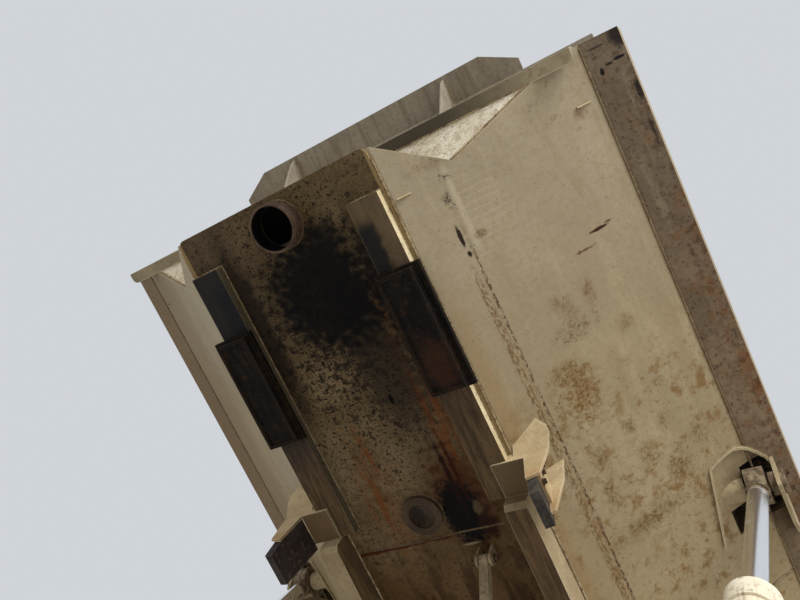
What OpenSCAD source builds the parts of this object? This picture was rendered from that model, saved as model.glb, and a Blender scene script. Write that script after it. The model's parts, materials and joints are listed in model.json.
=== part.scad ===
// Raised dump body of an articulated hauler, with its hoist cylinders and prop.
// Body axes: x across, y from the nose of the floor duct towards the tail,
// z up from the duct's underside. tipped() turns them about the pivot pins.

/* [Tipping] */
// Angle of the body's floor as stored, front end up
tip_a = 30; // [0:1:60]
// Distance from the duct's nose back to the pivot pins
pivot_y = 3500; // [3300:10:3700]
// Depth of the pivot pins below the duct's underside
pivot_drop = 120; // [110:1:150]

/* [Trough] */
// Half width of the duct under the floor
duct_half_w = 500; // [460:5:520]
// Distance from the centre to the fold of each side
fold_x = 1300; // [1250:5:1350]
// Height of the fold over the duct's underside
fold_z = 650; // [600:5:700]
// Distance from the centre to the outer edge of each side
edge_x = 1467; // [1430:1:1500]
// Height of the outer edge
edge_z = 733; // [710:1:760]
// Height of the side walls' top edge
wall_top_z = 1400; // [1300:10:1500]
// Thickness of the side plates
side_t = 12; // [8:1:16]
// Length from the duct's nose to the tail's end
tail_y = 4750; // [4600:10:4900]
// Where the flat floor ends and the tail starts to rise
chute_y = 3300; // [3250:10:3350]
// Height of the floor at the tail's end
chute_end_z = 640; // [580:5:645]
// Where the side walls start to drop towards the tail
drop_y = 4000; // [3800:10:4300]
// Height of the side walls at the tail's end
tail_top_z = 1050; // [950:10:1200]
// Depth of the cross beams under the tail chute
tail_beam_h = 90; // [70:1:110]
// Length of those beams along the chute
tail_beam_l = 150; // [120:5:180]
// Thickness of the wear bar across the tail's end
lip_t = 25; // [15:1:30]
// How far the wear bar hangs below the chute
lip_drop = 24; // [15:1:30]

/* [Floor] */
// Thickness of the duct's plate
duct_t = 10; // [6:1:12]
// Radius of the duct plate's front corners
duct_corner_r = 35; // [15:1:60]
// Height of the floor's underside
floor_z = 70; // [50:1:90]
// Thickness of the floor plate
floor_t = 16; // [12:1:20]
// Thickness of the front wall and of the duct's nose
front_t = 10; // [8:1:14]
// How far back and up the duct's nose meets the front wall
nose_run = 196; // [170:1:220]

/* [Front] */
// Height of the knee in the front wall
knee_z = 600; // [570:5:640]
// Reach of the knee beam ahead of the duct's nose
knee_d = 12; // [10:1:30]
// Reach of the knee beam below the knee
knee_low = 115; // [80:1:120]
// Reach of the knee beam above the knee
knee_high = 60; // [40:1:90]
// Half length of the knee beam
knee_half_l = 1278; // [1200:1:1290]
// Radius of the knee beam's rear corners in plan
knee_end_r = 30; // [10:1:45]
// Forward lean of the wall's top edge past the duct's nose
wall_lean = 20; // [10:1:60]
// Height of the front rail
front_rail_h = 90; // [70:1:120]
// Depth of the front rail
front_rail_d = 46; // [30:1:70]
// Half length of the front rail
front_rail_half_l = 1340; // [1300:5:1400]
// Reach of the canopy past the duct's nose
canopy_reach = 240; // [200:1:300]
// Half width of the canopy's straight edge
canopy_half_w = 760; // [700:5:820]
// Half width of the canopy where its corners are cut back to
canopy_root_w = 955; // [900:5:1000]
// Reach of the canopy at its cut corners
canopy_root_reach = 135; // [135:1:170]
// Thickness of the canopy's plate
canopy_t = 12; // [8:1:16]
// Distance from the centre to the canopy's gussets
canopy_gusset_x = 530; // [450:5:650]
// Height of the lower ends of those gussets
gusset_low_z = 1050; // [900:10:1200]
// Height of those gussets at their blunt front ends
gusset_h = 60; // [30:5:80]

/* [Top rails] */
// Height of the side walls' top rails
rail_h = 90; // [70:1:120]
// Width of the side walls' top rails
rail_w = 70; // [50:1:90]

/* [Rest rails and pads] */
// Distance from the duct's edge in to the outer face of each rest rail
rest_edge = 13; // [8:1:20]
// Width of the rest rails
rest_w = 144; // [130:1:160]
// Depth of the rest rails
rest_h = 46; // [35:1:55]
// Front end of the rest rails
rest_y = 173; // [150:1:200]
// Front end of the rest pads
pad_y = 473; // [450:1:520]
// Length of the rest pads
pad_l = 542; // [500:1:560]
// Width of the flange that fastens a pad
pad_flange_w = 200; // [180:1:210]
// Thickness of that flange
pad_flange_t = 22; // [15:1:30]
// How far that flange stands out past its rest rail
pad_over = 42; // [35:1:50]
// Width of a pad's block
pad_w = 157; // [140:1:158]
// Depth of the rest pads below the duct
pad_drop = 104; // [95:1:115]
// Width of the rim around a rest pad
pad_rim = 12; // [8:1:20]

/* [Hinge beams] */
// How far the hinge beams stand out past the duct's edge
beam_over = 20; // [10:1:30]
// Width of the hinge beams
beam_w = 100; // [90:1:110]
// Front end of the hinge beams
beam_y = 1532; // [1532:1:1600]
// Depth of the hinge beams near the front
beam_front_h = 127; // [115:1:140]
// Depth of the hinge beams at the tail end
beam_rear_h = 190; // [170:1:200]
// Outer radius of the pivot bosses
boss_r = 105; // [95:1:109]
// Radius of the pivot pins in the bosses
pivot_r = 50; // [45:1:55]
// Radius of the pivot pins' free ends
pivot_end_r = 45; // [40:1:44]
// Length of the pivot pins' free ends
pivot_end_l = 150; // [120:5:170]
// Radius of the tube between the beams
cross_r = 60; // [50:1:65]
// Distance of that tube ahead of the pivot
cross_run = 260; // [220:5:300]

/* [Guides] */
// Front end of the guides beside the rest rails
guide_y = 1375; // [1360:5:1375]
// Length of the guides
guide_l = 155; // [140:5:155]
// Distance from the duct's edge out to the top of each guide's face
guide_over = 65; // [60:1:75]
// Outward flare of the guides' faces
flare_a = 12; // [8:0.5:16]
// Width of the plate that joins each guide to its rest rail
shoe_w = 145; // [120:5:150]
// Thickness of the guides' plates
guide_t = 12; // [8:1:14]
// Depth of the guides' front webs below the duct
web_h = 222; // [200:1:235]
// Forward lean of the front webs' upper part
wing_a = 30; // [20:1:40]
// Length of the wear blocks
block_l = 170; // [150:5:180]
// Reach of the wear blocks down the guides' faces
block_h = 240; // [230:5:260]
// Thickness of the wear blocks
block_t = 40; // [30:1:45]

/* [Hoist] */
// Distance from the centre to the middle of each hoist eye
ear_x = 1297; // [1290:1:1300]
// Place of the hoist pins behind the duct's nose
ear_y = 2116; // [2050:1:2150]
// Height of the hoist pins
ear_z = 570; // [560:1:575]
// Distance from a hoist eye's middle to the outer face of its ear's cheek
ear_out = 98; // [94:1:106]
// Thickness of the ears' cheeks
ear_t = 16; // [12:1:18]
// Reach of the cheeks below their pins
ear_drop = 80; // [70:1:90]
// Height of the rim around an ear's pocket
rim_h = 12; // [8:1:30]
// Thickness of that rim
rim_t = 10; // [8:1:16]
// Gap between a rod's eye and the edges of its pocket
pocket_gap = 8; // [6:0.5:10]
// Reach of the pockets behind their pins
pocket_back = 200; // [170:5:220]
// Height of the pockets' ceilings
pocket_z = 740; // [735:1:760]
// Distance from a hoist eye's middle in to the far end of its pin's boss
boss_l = 155; // [150:1:158]
// Radius of the hoist pins
hoist_pin_r = 30; // [26:1:34]
// Radius of the boss and the collar on either side of a rod's eye
collar_r = 52; // [44:1:54]
// Gap between these and the rod's eye
collar_gap = 12; // [10:0.5:14]
// Outer radius of the rods' eyes
rod_eye_r = 85; // [75:1:88]
// Width of the rods' eyes
rod_eye_w = 84; // [70:1:100]
// Radius of the rods
rod_r = 43; // [40:1:48]
// Radius of the neck under a rod's eye
neck_r = 51; // [50:0.5:52]
// Length of the rods from the eye's middle
rod_l = 2100; // [2080:5:2105]
// Rod that shows between its eye and the barrel as stored
rod_out = 1070; // [1000:10:1070]
// Outer radius of the barrels
barrel_r = 80; // [76:1:84]
// Wall of the barrels
barrel_wall = 12; // [8:1:16]
// Radius of the barrels' end caps
cap_r = 88; // [85:1:95]
// Distance between the two pins of a hoist as stored
hoist_l = 3000; // [2950:10:3050]
// Radius of the bore in the barrels' lower eyes
foot_bore_r = 35; // [30:1:40]
// Outer radius of the barrels' lower eyes
foot_r = 74; // [65:1:76]
// Width of the barrels' lower eyes
foot_w = 90; // [80:1:110]
// Forward lean of the hoists from the body's vertical
hoist_swing = 14.3; // [5:0.1:25]
// Inward lean of the hoists
hoist_lean = 3.9; // [0:0.1:6]

/* [Exhaust and ports] */
// Place of the exhaust inlet behind the duct's nose
inlet_y = 126; // [110:1:150]
// Offset of the exhaust inlet from the centre
inlet_x = 18; // [-30:1:30]
// Bore radius of the exhaust inlet
inlet_r = 92; // [80:1:96]
// Wall of the exhaust inlet
inlet_wall = 8; // [6:1:12]
// Length of the exhaust inlet below the duct
inlet_h = 80; // [60:1:100]
// Place of the lower port behind the duct's nose
port_y = 1540; // [1500:5:1600]
// Outer radius of the lower port's ring
port_r = 95; // [85:1:105]
// Inner radius of the lower port's ring
port_in_r = 62; // [50:1:75]

/* [Safety prop] */
// Distance of the prop from the centre
prop_x = 205; // [180:1:260]
// Place of the prop's pin behind the duct's nose
prop_y = 1790; // [1750:5:1850]
// Depth of the prop's pin below the duct
prop_drop = 58; // [55:1:70]
// Length of the prop
prop_l = 950; // [800:10:1000]
// Width of the prop's bar
prop_w = 40; // [30:1:50]
// Radius of the prop's pin
prop_pin_r = 12; // [10:1:16]

/* [Hidden] */

$fn = 64;
running = 0.05;     // radial clearance of a pin that turns or slides in its bore
cut = 1;            // how far a cut runs past the faces it opens
far = 6000;         // longer and wider than the whole body
seat = 0.2;         // weld gap under a beam that sits on sloping plate
bevel = 20;         // bevel of pressed rails and beams

cream = [0.70, 0.64, 0.50];
sooty = [0.22, 0.19, 0.16];
worn = [0.45, 0.36, 0.26];
black = [0.08, 0.08, 0.08];
chrome = [0.80, 0.82, 0.84];

// Outer line of one side in section, from the duct's edge to the top of the wall
side_slope = fold_z / (fold_x - duct_half_w);
foot_x = duct_half_w + duct_t / side_slope;
outer = [[foot_x, duct_t], [fold_x, fold_z], [edge_x, edge_z], [edge_x, wall_top_z]];

// The same line moved inwards by a plate's thickness
function unit(v) = v / norm(v);
function inward(a, b) = [-unit(b - a)[1], unit(b - a)[0]];
function mitre(p, m, n, t) = p + t * (m + n) / (1 + m * n);
in_1 = inward(outer[0], outer[1]);
in_2 = inward(outer[1], outer[2]);
in_3 = inward(outer[2], outer[3]);
function inner_line(t) = [
    [foot_x + t / in_1[0], duct_t],
    mitre(outer[1], in_1, in_2, t),
    mitre(outer[2], in_2, in_3, t),
    [edge_x - t, wall_top_z]];
inner = inner_line(side_t);
function inner_x(z) = inner[0][0] + (z - duct_t) / side_slope;

// Front wall in side view: foot, knee and top of its outer face
knee_reach = 4;     // how far the knee stands ahead of the duct's nose
wall_slope = (nose_run + knee_reach) / (knee_z - nose_run);
wall_knee = [-knee_reach, knee_z];
wall_foot = [nose_run + wall_slope * (nose_run - floor_z), floor_z];
wall_top = [-wall_lean, wall_top_z];
upper_slope = (wall_knee[0] - wall_top[0]) / (wall_top_z - knee_z);
function upper_y(z) = wall_knee[0] - upper_slope * (z - knee_z);
rail_low = wall_top_z - front_rail_h;
rail_face = wall_top[0] - front_rail_d;
function lower_y(z) = wall_knee[0] + wall_slope * (knee_z - z);

// Tail chute in side view
chute_a = atan2(chute_end_z - floor_z - floor_t, tail_y - chute_y);
chute_bend = chute_y - floor_t * tan(chute_a / 2);
function chute_under(y) = floor_z + (y - chute_bend) * tan(chute_a);
function chute_over(y) = floor_z + floor_t + (y - chute_y) * tan(chute_a);

// Places that several sub-parts share
guide_end_y = guide_y + guide_l;
guide_x = duct_half_w + guide_over;
rest_out_x = duct_half_w - rest_edge;
rest_in_x = rest_out_x - rest_w;
beam_out_x = duct_half_w + beam_over;
beam_in_x = beam_out_x - beam_w;
beam_end_y = pivot_y + 60;
lug_gap = 30;       // free pin between a hinge beam and the chassis lug
pin_in_x = beam_in_x - lug_gap - pivot_end_l;

// Sets a sub-part drawn in body axes into the frame of the pivot pins
module tipped() {
    rotate([-tip_a, 0, 0]) translate([0, -pivot_y, pivot_drop]) children();
}

// Extrudes a side view, drawn as (y, z), across from x0 to x1
module across(x0, x1) {
    translate([x0, 0, 0]) rotate([90, 0, 90]) linear_extrude(x1 - x0) children();
}

// Extrudes a section, drawn as (x, z), backwards from y0 to y1
module along(y0, y1) {
    translate([0, y1, 0]) rotate([90, 0, 0]) linear_extrude(y1 - y0) children();
}

// Mirrors a left-hand sub-part to the right for side = -1
module hand(side) {
    if (side > 0) children(); else mirror([1, 0, 0]) children();
}

// Outline of a side in side view, which every side plate is trimmed to
module side_view() {
    polygon([[0, 0], [nose_run, nose_run], wall_knee, wall_top,
        [drop_y, wall_top_z], [tail_y, tail_top_z], [tail_y, chute_under(tail_y)],
        [chute_bend, floor_z], [chute_bend, 0]]);
}

// One plate of a side, between two points of the section
module side_plate(i) {
    difference() {
        intersection() {
            along(-far / 2, far) polygon([outer[i], outer[i + 1], inner[i + 1], inner[i]]);
            across(0, edge_x + cut) side_view();
        }
        if (i < 2) ear_cut();
    }
}

// Space inside the sides, as a section
module trough_section() {
    polygon([for (p = inner) p, for (i = [3:-1:0]) [-inner[i][0], inner[i][1]]]);
}

module lower_side(side) color(cream) tipped() hand(side) side_plate(0);
module chine(side) color(worn) tipped() hand(side) side_plate(1);
module side_wall(side) color(cream) tipped() hand(side) side_plate(2);

module top_rail(side) {
    run = wall_top_z - rail_h;
    color(cream) tipped() hand(side) across(edge_x - side_t - rail_w, edge_x - side_t)
        polygon([[upper_y(run) + front_t, run], [upper_y(wall_top_z) + front_t, wall_top_z],
            [drop_y, wall_top_z], [tail_y, tail_top_z], [tail_y, tail_top_z - rail_h],
            [drop_y, run]]);
}

module duct_plate() {
    color(sooty) tipped() difference() {
        linear_extrude(duct_t) difference() {
            union() {
                translate([-duct_half_w, duct_corner_r])
                    square([2 * duct_half_w, chute_bend - duct_corner_r]);
                translate([-duct_half_w + duct_corner_r, 0])
                    square([2 * (duct_half_w - duct_corner_r), 2 * duct_corner_r]);
                for (s = [-1, 1]) translate([s * (duct_half_w - duct_corner_r), duct_corner_r])
                    circle(duct_corner_r);
            }
            translate([inlet_x, inlet_y]) circle(inlet_r);
        }
    }
}

// Sloping plate that closes the duct ahead of the front wall
module duct_nose() {
    run = front_t * sqrt(2);
    color(cream) tipped() intersection() {
        across(-far / 2, far / 2) polygon([[duct_t, duct_t], [nose_run, nose_run],
            [lower_y(nose_run - run), nose_run - run], [duct_t + run, duct_t]]);
        along(-cut, far) trough_section();
    }
}

module front_wall_lower() {
    color(cream) tipped() intersection() {
        across(-far / 2, far / 2) polygon([[lower_y(nose_run), nose_run], wall_knee,
            [wall_knee[0] + front_t, knee_z], [wall_foot[0] + front_t, floor_z + floor_t],
            [lower_y(floor_z + floor_t), floor_z + floor_t],
            [lower_y(nose_run - front_t * sqrt(2)), nose_run - front_t * sqrt(2)]]);
        along(-far, far) trough_section();
    }
}

module front_wall_upper() {
    color(cream) tipped() intersection() {
        across(-far / 2, far / 2) polygon([wall_knee, wall_top,
            [wall_top[0] + front_t, wall_top_z], [wall_knee[0] + front_t, knee_z]]);
        along(-far, far) trough_section();
    }
}

module floor_plate() {
    color(worn) tipped() intersection() {
        across(-far / 2, far / 2) polygon([[wall_foot[0], floor_z], [chute_bend, floor_z],
            [chute_y, floor_z + floor_t], [lower_y(floor_z + floor_t), floor_z + floor_t]]);
        along(0, far) trough_section();
    }
}

module tail_chute() {
    color(worn) tipped() intersection() {
        across(-far / 2, far / 2) polygon([[chute_bend, floor_z], [tail_y, chute_under(tail_y)],
            [tail_y, chute_over(tail_y)], [chute_y, floor_z + floor_t]]);
        along(0, far) trough_section();
    }
}

// Wear bar across the tail's end
module tail_lip() {
    half = inner_x(chute_end_z) - bevel;
    low = chute_under(tail_y) - lip_drop;
    high = chute_over(tail_y);
    color(worn) tipped() across(-half, half)
        polygon([[tail_y, low], [tail_y + lip_t, low], [tail_y + lip_t, high], [tail_y, high]]);
}

// Cross beams under the tail chute, each a bar with bevelled lower edges
module tail_beams() {
    color(cream) tipped() for (share = [0.42, 0.79]) {
        y = chute_y + share * (tail_y - chute_y);
        z = chute_under(y) - seat;
        half = foot_x + (z - tail_beam_h - duct_t) / side_slope;
        translate([0, y, z]) rotate([chute_a, 0, 0]) across(-half, half)
            polygon([[0, 0], [tail_beam_l, 0], [tail_beam_l - bevel, -tail_beam_h],
                [bevel, -tail_beam_h]]);
    }
}

module knee_beam() {
    low = knee_z - knee_low;
    high = knee_z + knee_high;
    rounding_y = lower_y(low) - knee_end_r;
    color(cream) tipped() intersection() {
        across(-knee_half_l, knee_half_l) polygon([[lower_y(low), low], wall_knee,
            [upper_y(high), high], [-knee_d, knee_z], [-knee_d / 2, low]]);
        linear_extrude(far) {
            translate([-knee_half_l, -far]) square([2 * knee_half_l, far + rounding_y]);
            translate([knee_end_r - knee_half_l, -far])
                square([2 * (knee_half_l - knee_end_r), 2 * far]);
            for (s = [-1, 1]) translate([s * (knee_half_l - knee_end_r), rounding_y])
                circle(knee_end_r);
        }
    }
}

module front_rail() {
    color(cream) tipped() across(-front_rail_half_l, front_rail_half_l)
        polygon([[upper_y(rail_low), rail_low], wall_top, [rail_face, wall_top_z],
            [rail_face, rail_low + bevel]]);
}

module canopy() {
    color(cream) tipped() translate([0, 0, wall_top_z]) linear_extrude(canopy_t)
        polygon([[-canopy_root_w, wall_top[0] + front_t], [-canopy_root_w, -canopy_root_reach],
            [-canopy_half_w, -canopy_reach], [canopy_half_w, -canopy_reach],
            [canopy_root_w, -canopy_root_reach], [canopy_root_w, wall_top[0] + front_t]]);
}

// Plates from the canopy down to the wall, notched around the front rail
module canopy_gussets() {
    color(cream) tipped() for (s = [-1, 1])
        across(s * canopy_gusset_x - canopy_t / 2, s * canopy_gusset_x + canopy_t / 2)
            polygon([[rail_face, wall_top_z], [bevel - canopy_reach, wall_top_z],
                [2 * bevel - canopy_reach, wall_top_z - gusset_h],
                [upper_y(gusset_low_z) - bevel / 2, gusset_low_z],
                [upper_y(gusset_low_z), gusset_low_z], [upper_y(rail_low), rail_low],
                [rail_face, rail_low + bevel]]);
}

// Stub of pipe with raised rings around it
module exhaust_inlet() {
    ring_t = 4;
    ring_h = 8;
    color(sooty) tipped() translate([inlet_x, inlet_y, 0]) rotate([180, 0, 0]) difference() {
        union() {
            cylinder(r = inlet_r + inlet_wall, h = inlet_h);
            for (share = [0.2, 0.5, 0.8]) translate([0, 0, share * inlet_h])
                cylinder(r = inlet_r + inlet_wall + ring_t, h = ring_h);
        }
        translate([0, 0, -cut]) cylinder(r = inlet_r, h = inlet_h + 2 * cut);
    }
}

// Ring with a blank in it
module lower_port() {
    ring_h = 26;
    blank_t = 8;
    color(sooty) tipped() translate([0, port_y, 0]) rotate([180, 0, 0]) difference() {
        cylinder(r = port_r, h = ring_h);
        translate([0, 0, blank_t]) cylinder(r = port_in_r, h = ring_h);
    }
}

module rest_rail(side) {
    color(cream) tipped() hand(side) translate([rest_in_x, rest_y, -rest_h])
        cube([rest_w, guide_end_y - rest_y, rest_h]);
}

// Flanged pad, seated on its rail, its block with a raised rim
module rest_pad(side) {
    dish = 8;
    color(black) tipped() hand(side) {
        translate([rest_out_x + pad_over - pad_flange_w, pad_y, -rest_h - pad_flange_t])
            cube([pad_flange_w, pad_l, pad_flange_t]);
        translate([rest_in_x, pad_y + pad_rim, -pad_drop]) difference() {
            cube([pad_w, pad_l - 2 * pad_rim, pad_drop - rest_h - cut]);
            translate([pad_rim, pad_rim, -cut])
                cube([pad_w - 2 * pad_rim, pad_l - 4 * pad_rim, dish + cut]);
        }
    }
}

// Beam with a blunt nose, under the duct and then up to the tail chute
module hinge_beam(side) {
    color(cream) tipped() hand(side) difference() {
        union() {
            across(beam_in_x, beam_out_x) polygon([[beam_y, 0], [chute_bend, 0],
                [chute_bend, floor_z - seat], [beam_end_y, chute_under(beam_end_y) - seat],
                [beam_end_y, -pivot_drop], [pivot_y, -pivot_drop],
                [pivot_y - boss_r / 2, -beam_rear_h],
                [beam_y + bevel, -beam_front_h], [beam_y, bevel - beam_front_h]]);
            at_pivot(beam_in_x) cylinder(r = boss_r, h = beam_w);
        }
        at_pivot(beam_in_x - cut) cylinder(r = pivot_r + running, h = beam_w + 2 * cut);
    }
}

// Turns children to the pivot's axis, starting x from the centre
module at_pivot(x) {
    translate([x, pivot_y, -pivot_drop]) rotate([0, 90, 0]) children();
}

module cross_tube() {
    color(cream) tipped() translate([-beam_in_x, pivot_y - cross_run, -beam_rear_h / 2])
        rotate([0, 90, 0]) cylinder(r = cross_r, h = 2 * beam_in_x);
}

// Point (x, z) on a guide: down its flared face, and outwards from that face
function on_face(down, out) = [guide_x + down * sin(flare_a) + out * cos(flare_a),
    -rest_h - down * cos(flare_a) + out * sin(flare_a)];
face_l = (web_h - rest_h) / cos(flare_a);
web_out_x = guide_x + 103;
function slant_z(x) = duct_t + (x - foot_x) * side_slope;

// Guide beside a rest rail: a shoe plate, two webs up to the side plate, the
// front one with a wing that leans forward, and a back plate for the wear block
module guide(side) {
    wing_z = -30;
    wing_in_x = duct_half_w + 18;
    peak_x = web_out_x - 2 * bevel;
    peak_l = (slant_z(peak_x) - wing_z) / cos(wing_a);
    color(cream) tipped() hand(side) intersection() {
        union() {
            translate([guide_x - shoe_w, guide_y, -rest_h - guide_t])
                cube([shoe_w, guide_l, guide_t]);
            along(guide_y, guide_y + guide_t) polygon([[rest_out_x, -rest_h], [rest_out_x, 0],
                [wing_in_x, 0], [wing_in_x, wing_z], [web_out_x, wing_z], [web_out_x, -rest_h],
                [web_out_x - bevel / 2, bevel - web_h], on_face(face_l, 0), on_face(0, 0)]);
            translate([0, guide_y, wing_z]) rotate([wing_a, 0, 0]) along(0, guide_t)
                polygon([[wing_in_x, -bevel / 2], [wing_in_x, web_h], [peak_x, web_h],
                    [peak_x, peak_l], [web_out_x, peak_l - 2 * bevel],
                    [web_out_x + bevel / 2, peak_l - 4 * bevel], [web_out_x, -bevel / 2]]);
            along(guide_end_y - guide_t, guide_end_y) polygon([[guide_x, -rest_h - guide_t],
                on_face(0, block_t), on_face(face_l + 2 * bevel, block_t),
                [web_out_x, -web_h - bevel], [web_out_x + bevel / 3, wing_z],
                [web_out_x - bevel / 2, slant_z(peak_x)], [peak_x + bevel, web_h],
                [guide_x, web_h]]);
            along(guide_y + guide_t / 2, guide_end_y - guide_t / 2)
                polygon([on_face(0, block_t), on_face(face_l - bevel, block_t),
                    on_face(face_l - bevel, block_t + guide_t), on_face(0, block_t + guide_t)]);
        }
        under_side();
    }
}

// Block behind the front web, its lower front corner cut back
module wear_block(side) {
    start = guide_t + 2;
    color(black) tipped() hand(side) difference() {
        along(guide_y + guide_t, guide_y + guide_t + block_l)
            polygon([on_face(start, 0), on_face(start + block_h, 0),
                on_face(start + block_h, block_t), on_face(start, block_t)]);
        across(guide_x - cut, guide_x + 2 * block_h) polygon([
            [guide_y, -web_h + bevel], [guide_y + guide_t, -web_h + bevel],
            [guide_y + guide_t + 2 * bevel, -2 * web_h], [guide_y, -2 * web_h]]);
    }
}

// Outline of an ear's rim about its pin, as (x, y): from inboard at the rear,
// round the front, to the outer cheek's rear end
ear_rim = [[-225, 195], [-161, -170], [-120, -186], [-71, -194], [-40, -195], [-4, -176],
    [24, -148], [49, -117], [77, -75], [ear_out - 8, -25], [ear_out, 30], [ear_out, 330]];
rim_end = len(ear_rim) - 1;
function side_of(p, i) = inward(p[i], p[i + 1]);
function inset(p, t) = [for (i = [0:len(p) - 1])
    i == 0 ? p[0] + t * side_of(p, 0) :
    i == len(p) - 1 ? p[i] + t * side_of(p, i - 1) :
    mitre(p[i], side_of(p, i - 1), side_of(p, i), t)];
pocket_in = rod_eye_w / 2 + pocket_gap;
pocket_out = ear_out - ear_t - seat;
pocket_front = rod_eye_r + pocket_gap;
boss_end = rod_eye_w / 2 + collar_gap;

// Ear of a hoist: rim and cheek outside the plates, box and boss inside them
module hoist_ear(side) {
    color(cream) tipped() hand(side) {
        intersection() {
            translate([ear_x, ear_y, 0]) ear_outside();
            under_side();
        }
        difference() {
            union() {
                intersection() {
                    translate([ear_x, ear_y, 0]) ear_box();
                    along(0, far) trough_section();
                }
                at_hoist_pin(-boss_l) cylinder(r = collar_r, h = boss_l - boss_end);
            }
            at_hoist_pin(-boss_l + ear_t) cylinder(r = hoist_pin_r + running, h = boss_l);
        }
    }
}

module at_hoist_pin(x) {
    translate([ear_x + x, ear_y, ear_z]) rotate([0, 90, 0]) children();
}

// Rim along the plates' underside, and the cheek that carries the pin's outer end
module ear_outside() {
    back = ear_rim[rim_end][1];
    low = ear_z - ear_drop;
    band = inner_line(-rim_h);
    inside = inset(ear_rim, rim_t);
    intersection() {
        linear_extrude(edge_z)
            polygon([for (p = ear_rim) p, for (i = [rim_end:-1:0]) inside[i]]);
        translate([-ear_x, 0, 0]) along(-far, far) polygon([outer[0], outer[1], outer[2],
            band[2], band[1], band[0]]);
    }
    difference() {
        across(ear_out - ear_t, ear_out) polygon([[-ear_drop + bevel, edge_z],
            [-ear_drop + bevel, ear_z], [-ear_drop / 2, low], [back / 2, low],
            [back, edge_z - ear_drop], [back, edge_z]]);
        translate([ear_out - ear_t - cut, 0, ear_z]) rotate([0, 90, 0])
            cylinder(r = hoist_pin_r + running, h = ear_t + 2 * cut);
    }
}

// Box over the slot for a rod's eye and over the boss, open at the bottom
module ear_box() {
    in_x = -boss_l - side_t + cut;
    out_x = pocket_out + side_t;
    front = -pocket_front - 2 * side_t;
    back = pocket_back + 2 * side_t;
    difference() {
        translate([in_x, front, 0]) cube([out_x - in_x, back - front, pocket_z + side_t]);
        translate([in_x + side_t, front + side_t, -cut])
            cube([pocket_out - in_x - side_t, back - front - 2 * side_t, pocket_z + cut]);
    }
}

// Slot for a rod's eye, wider behind the boss and kept within the rim, and the
// hole for the boss, all cut from the side plates
module ear_cut() {
    behind = collar_r + bevel;
    wide = boss_l - pocket_gap;
    translate([ear_x, ear_y, 0]) linear_extrude(wall_top_z) intersection() {
        polygon([[-pocket_in, -pocket_front], [pocket_out, -pocket_front],
            [pocket_out, pocket_back], [-wide, pocket_back], [-wide, behind],
            [-pocket_in, behind]]);
        polygon(concat(inset(ear_rim, rim_t), [[-far, far]]));
    }
    at_hoist_pin(-boss_l - seat) cylinder(r = collar_r + seat, h = boss_l);
}

// Everything below and outside the duct and the side plates
module under_side() {
    along(0, far) polygon([[0, -far], [0, 0], [duct_half_w, 0], outer[1], outer[2],
        [far, edge_z], [far, -far]]);
}

// Pin from its boss through the rod's eye, a collar and the cheek to its head
module hoist_pin(side) {
    head = 22;
    collar_l = ear_out - ear_t - boss_end;
    color(worn) tipped() hand(side) {
        at_hoist_pin(-boss_l + ear_t + pocket_gap)
            cylinder(r = hoist_pin_r, h = boss_l - ear_t - pocket_gap + ear_out + head);
        at_hoist_pin(ear_out) cylinder(r = collar_r, h = head);
        at_hoist_pin(boss_end) cylinder(r = collar_r, h = collar_l);
    }
}

// Places children on a hoist's axis, which runs down along -z from its eye
module on_hoist(side) {
    tipped() hand(side) translate([ear_x, ear_y, ear_z]) rotate([-hoist_swing, 0, 0]) children();
}

module hoist_rod(side) {
    neck_l = rod_eye_r + 14;
    neck_h = 28;
    color(chrome) on_hoist(side) difference() {
        union() {
            translate([-rod_eye_w / 2, 0, 0]) rotate([0, 90, 0]) cylinder(r = rod_eye_r, h = rod_eye_w);
            rotate([0, hoist_lean, 0]) translate([0, 0, -rod_l]) cylinder(r = rod_r, h = rod_l);
            rotate([0, hoist_lean, 0]) translate([0, 0, -neck_l]) cylinder(r = neck_r, h = neck_h);
        }
        translate([-rod_eye_w, 0, 0]) rotate([0, 90, 0])
            cylinder(r = hoist_pin_r + running, h = 2 * rod_eye_w);
    }
}

module hoist_barrel(side) {
    gland = 120;
    floor_gap = 110;
    foot_gap = 60;
    chamfer = 12;
    color(cream) on_hoist(side) rotate([0, hoist_lean, 0]) difference() {
        union() {
            translate([0, 0, -hoist_l + foot_gap]) cylinder(r = barrel_r, h = hoist_l - rod_out - foot_gap);
            translate([0, 0, -rod_out - gland]) cylinder(r = cap_r, h = gland - chamfer);
            at_foot() cylinder(r = foot_r, h = foot_w, center = true);
        }
        translate([0, 0, -hoist_l + floor_gap])
            cylinder(r = barrel_r - barrel_wall, h = hoist_l - rod_out - gland - floor_gap);
        translate([0, 0, -rod_out - gland - cut]) cylinder(r = rod_r + running, h = gland + 2 * cut);
        at_foot() cylinder(r = foot_bore_r, h = 2 * foot_w, center = true);
    }
}

// Turns children to the lower eye's axis, which stays level across the truck
module at_foot() {
    translate([0, 0, -hoist_l]) rotate([0, 90 - hoist_lean, 0]) children();
}

// Two cheeks under the duct with the prop's pin through them
module prop_lug() {
    lug_t = 12;
    lug_r = 28;
    gap = prop_w / 2 + 6;
    pin_half = gap + lug_t + 8;
    color(cream) tipped() {
        for (s = [-1, 1]) translate([prop_x + s * (gap + lug_t / 2) - lug_t / 2, prop_y, 0])
            across(0, lug_t) {
                translate([0, -prop_drop]) circle(lug_r);
                translate([-lug_r, -prop_drop]) square([2 * lug_r, prop_drop]);
            }
        translate([prop_x - pin_half, prop_y, -prop_drop]) rotate([0, 90, 0])
            cylinder(r = prop_pin_r, h = 2 * pin_half);
    }
}

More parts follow.
